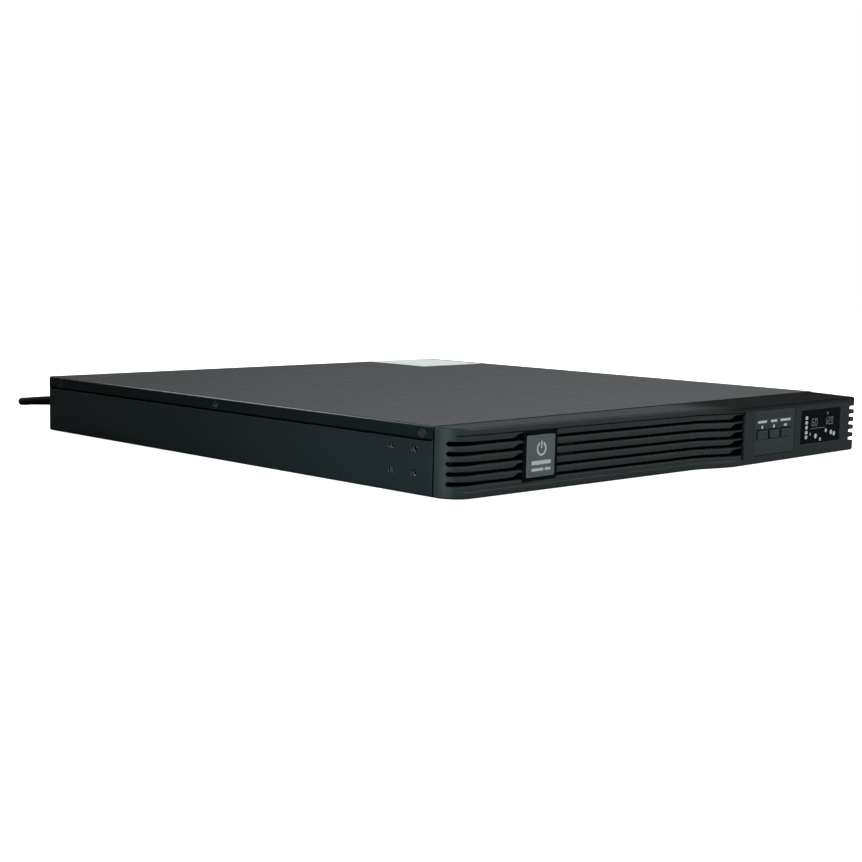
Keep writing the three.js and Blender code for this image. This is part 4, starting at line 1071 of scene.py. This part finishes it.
# ---------------------------------------------------------------- cord
def build_cord():
    relief_low, relief_high = box_mm("cord_strain_relief")
    x = (relief_low.x + relief_high.x) / 2
    z = (relief_low.z + relief_high.z) / 2
    plug_low, plug_high = box_mm("power_plug")
    plug_y = (plug_low.y + plug_high.y) / 2
    plug_z = (plug_low.z + plug_high.z) / 2
    path = smooth_curve(
        [
            (x, REAR - 20, z), (x, REAR + 4, z), (x, REAR + 27, z), (x, REAR + 44, 19.4),
            (x, REAR + 60, 17.7), (x, REAR + 74, 16), (x + 4.5, REAR + 90, 14.4),
            (x + 18, REAR + 98.5, 13.2), (x + 40, plug_y, 11.8), (plug_low.x - 24, plug_y, 10.6),
            (plug_low.x - 0.4, plug_y, plug_z),
        ],
        14,
    )
    placed(tube(path, 3.3, 28), "cord_jacket", "case", CORD, ["power_cord"])

    profile = [
        (3.8, -5), (7.8, -5), (7.8, -1.4), (6.4, -1.4), (6.4, 0.3), (8.0, 0.3), (8.4, 0.7),
        (8.4, 2.6), (8.0, 3.1), (6.9, 3.9),
    ]
    for i in range(4):
        y = 5.6 + i * 4.2
        rib = 6.5 - y / 24
        profile += [(rib, y), (rib - 1.0, y + 0.5), (rib - 1.0, y + 1.5), (rib - 0.1, y + 2.0)]
    profile += [(5.5, 22.6), (5.2, 23.8), (4.8, 24), (3.8, 24)]
    relief = ring_lathe(profile, (x, REAR, z), "Y", 48)
    placed(relief, "strain_relief_bush", "case", CORD, ["cord_strain_relief"])


# ---------------------------------------------------------------- CAD nodes that keep their shape
def pair(stem):
    return [stem + "_left", stem + "_right"]


KEPT = [  # material, bevel in millimetres, nodes
    (PANEL, 0.5, list(KEYS)),
    (LCD_GLASS, 0.2, ["lcd_window"]),
    (BLACK, 0.2, ["breaker_button"] + pair("fan_rotor")),
    (BLACK, 0.3, ["lcd_panel", "breaker_body", "network_jack"] + pair("bulk_capacitor")),
    (BLACK, 0.4, ["control_housing"] + pair("fan_housing") + pair("outlet_bank")),
    (BLACK, 0.8, ["pull_handle", "battery_plug", "battery_socket"]),
    (BOARD, 0.1, ["display_board", "main_board"]),
    (RIBBON, 0.1, ["display_ribbon"]),
    # The inner plates are near-black: black paint and painted shade.
    (INSIDE_PAINT_AND_SHADE, 0.15, ["front_plate", "battery_tray"]),
    (ZINC, 0.15, ["bay_divider"]),
    (PAINT, 0.2, ["rear_panel"]),
    (LABEL, 0.05, ["top_label"]),
    (BATTERY, 0.8, pair("battery_front") + pair("battery_rear")),
    (SCREW, 0.2, pair("thumbscrew")),
    (CORD, 0, ["battery_cable"]),
    (CORD, 0.8, ["power_plug"]),
    (CORE, 0.4, ["transformer_core"]),
    (COPPER, 1.2, ["transformer_winding"]),
    (COPPER, 0, ["filter_choke"]),
    (ALUMINIUM, 0.2, ["heatsink"]),
    (RELAY, 0.6, ["relay"]),
    (WIRE, 0, pair("fan_guard")),
    (SHELL_METAL, 0.2, ["usb_port", "ground_screw"]),
    (GREEN, 0.3, ["remote_off_terminal"]),
]


def dress_node(node, material, width):
    """Welds the imported facets, rounds the edges a little and gives the node its finish."""
    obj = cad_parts[node]
    obj.data.materials.clear()
    obj.data.materials.append(material)
    for polygon in obj.data.polygons:
        polygon.use_smooth = True
    weld = obj.modifiers.new("weld", "WELD")
    weld.merge_threshold = 0.00001
    if width:
        bevel = obj.modifiers.new("bevel", "BEVEL")
        bevel.width = width * MM
        bevel.segments = 3
        bevel.limit_method = "ANGLE"
        bevel.angle_limit = math.radians(40)
    obj.modifiers.new("normals", "WEIGHTED_NORMAL")


def dress_cad_nodes():
    for material, width, nodes in KEPT:
        for node in nodes:
            dress_node(node, material, width)


# ---------------------------------------------------------------- studio
FLOOR_SEEN_BY_OBJECT = (0.10, 0.12, 0.125)  # the white sweep would otherwise light the sides from below


def build_floor():
    size = 6.0
    floor = block(-size / MM, size / MM, -size / MM, size / MM, -6, -0.4)
    floor.name = "floor"
    floor.data.transform(Matrix.Scale(MM, 4))
    material = bpy.data.materials.new("floor")
    material.use_nodes = True
    tree = material.node_tree
    link = tree.links.new
    shader = tree.nodes["Principled BSDF"]
    shader.inputs["Roughness"].default_value = 0.9
    shader.inputs["Specular IOR Level"].default_value = 0.0
    shader.inputs["Emission Color"].default_value = (1, 1, 1, 1)
    rays = tree.nodes.new("ShaderNodeLightPath")
    tone = tree.nodes.new("ShaderNodeMixRGB")
    tone.inputs["Color1"].default_value = (*FLOOR_SEEN_BY_OBJECT, 1)
    tone.inputs["Color2"].default_value = (0.8, 0.8, 0.8, 1)
    link(rays.outputs["Is Camera Ray"], tone.inputs["Fac"])
    link(tone.outputs["Color"], shader.inputs["Base Color"])
    glow = add_node(tree, "ShaderNodeMath", operation="MULTIPLY")
    glow.inputs[1].default_value = 0.97
    link(rays.outputs["Is Camera Ray"], glow.inputs[0])
    link(glow.outputs["Value"], shader.inputs["Emission Strength"])
    floor.data.materials.append(material)


BRIGHT_WAY = (0.885, 0.45, 0.12)  # where the room behind and to the right of the object is brightest


def build_world():
    """White to the camera; to the object, a dim room that is brighter behind it and to the right."""
    world = bpy.data.worlds.new("studio")
    scene.world = world
    world.use_nodes = True
    tree = world.node_tree
    link = tree.links.new
    background = tree.nodes["Background"]
    rays = tree.nodes.new("ShaderNodeLightPath")
    toward = add_node(tree, "ShaderNodeVectorMath", operation="DOT_PRODUCT")
    toward.inputs[1].default_value = BRIGHT_WAY
    link(tree.nodes.new("ShaderNodeTexCoord").outputs["Generated"], toward.inputs[0])
    room = ramp(tree, toward.outputs["Value"], 0.78, 1.0, 0.03, 0.42)
    strength = blended(tree, room, rays.outputs["Is Camera Ray"], 1.0)
    link(strength, background.inputs["Strength"])
    background.inputs["Color"].default_value = (1, 1, 1, 1)


def area_light(name, spot, target, size, power, color=(1, 1, 1)):
    light = bpy.data.lights.new(name, "AREA")
    light.shape = "RECTANGLE"
    light.size, light.size_y = size
    light.energy = power
    light.color = color
    obj = bpy.data.objects.new(name, light)
    scene.collection.objects.link(obj)
    obj.location = spot
    obj.rotation_mode = "QUATERNION"
    obj.rotation_quaternion = (Vector(target) - Vector(spot)).to_track_quat("-Z", "Y")
    return obj


def build_lights():
    cool, cooler = (0.93, 1.0, 1.0), (0.72, 0.97, 1.0)
    area_light("top_softbox", (0.5, 0.3, 1.5), (0.25, 0.1, 0), (1.1, 1.1), 15)
    area_light("front_softbox", (0.55, -1.5, 1.0), (0.05, -0.25, 0.02), (1.2, 0.9), 20, cool)
    corner = (-0.22, -0.24, 0.02)  # the case's front left corner
    near = area_light("front_left_spot", (-0.95, -0.3, 0.2), corner, (0.3, 0.25), 0.51, cooler)
    near.data.spread = math.radians(58)
    area_light("rear_softbox", (-0.45, 1.5, 1.3), (-0.2, 0, 0.04), (1.2, 0.5), 8)
    area_light("back_fill", (-0.1, 1.8, 0.4), (0, 0.2, 0.02), (0.8, 0.4), 3.5)


def build_camera():
    """From the front left and a little above, with the lens turned very slightly."""
    azimuth, elevation, roll = math.radians(-45.582), math.radians(6.583), math.radians(1.203)
    level = math.cos(elevation)
    back = Vector((math.sin(azimuth) * level, -math.cos(azimuth) * level, math.sin(elevation)))
    right = (-back).cross(Vector((0, 0, 1))).normalized()
    up = right.cross(-back)
    turned_right = right * math.cos(roll) + up * math.sin(roll)
    turned_up = up * math.cos(roll) - right * math.sin(roll)
    camera = bpy.data.objects.new("camera", bpy.data.cameras.new("camera"))
    scene.collection.objects.link(camera)
    camera.data.lens = 61.5
    camera.data.sensor_width = 36
    camera.data.clip_start = 0.05
    camera.data.clip_end = 50
    turn = Matrix((turned_right, turned_up, back)).transposed().to_4x4()
    place = Vector((-0.84604, FRONT * MM - 0.61272, 0.14168))
    camera.matrix_world = Matrix.Translation(place) @ turn
    scene.camera = camera
    scene.view_settings.view_transform = "Standard"


build_bezel()
build_badge()
build_fascia()
build_fascia_marks()
build_display()
build_tray()
build_pressed_nuts()
build_cover()
build_cover_screws()
build_cord()
dress_cad_nodes()
build_floor()
build_world()
build_lights()
build_camera()
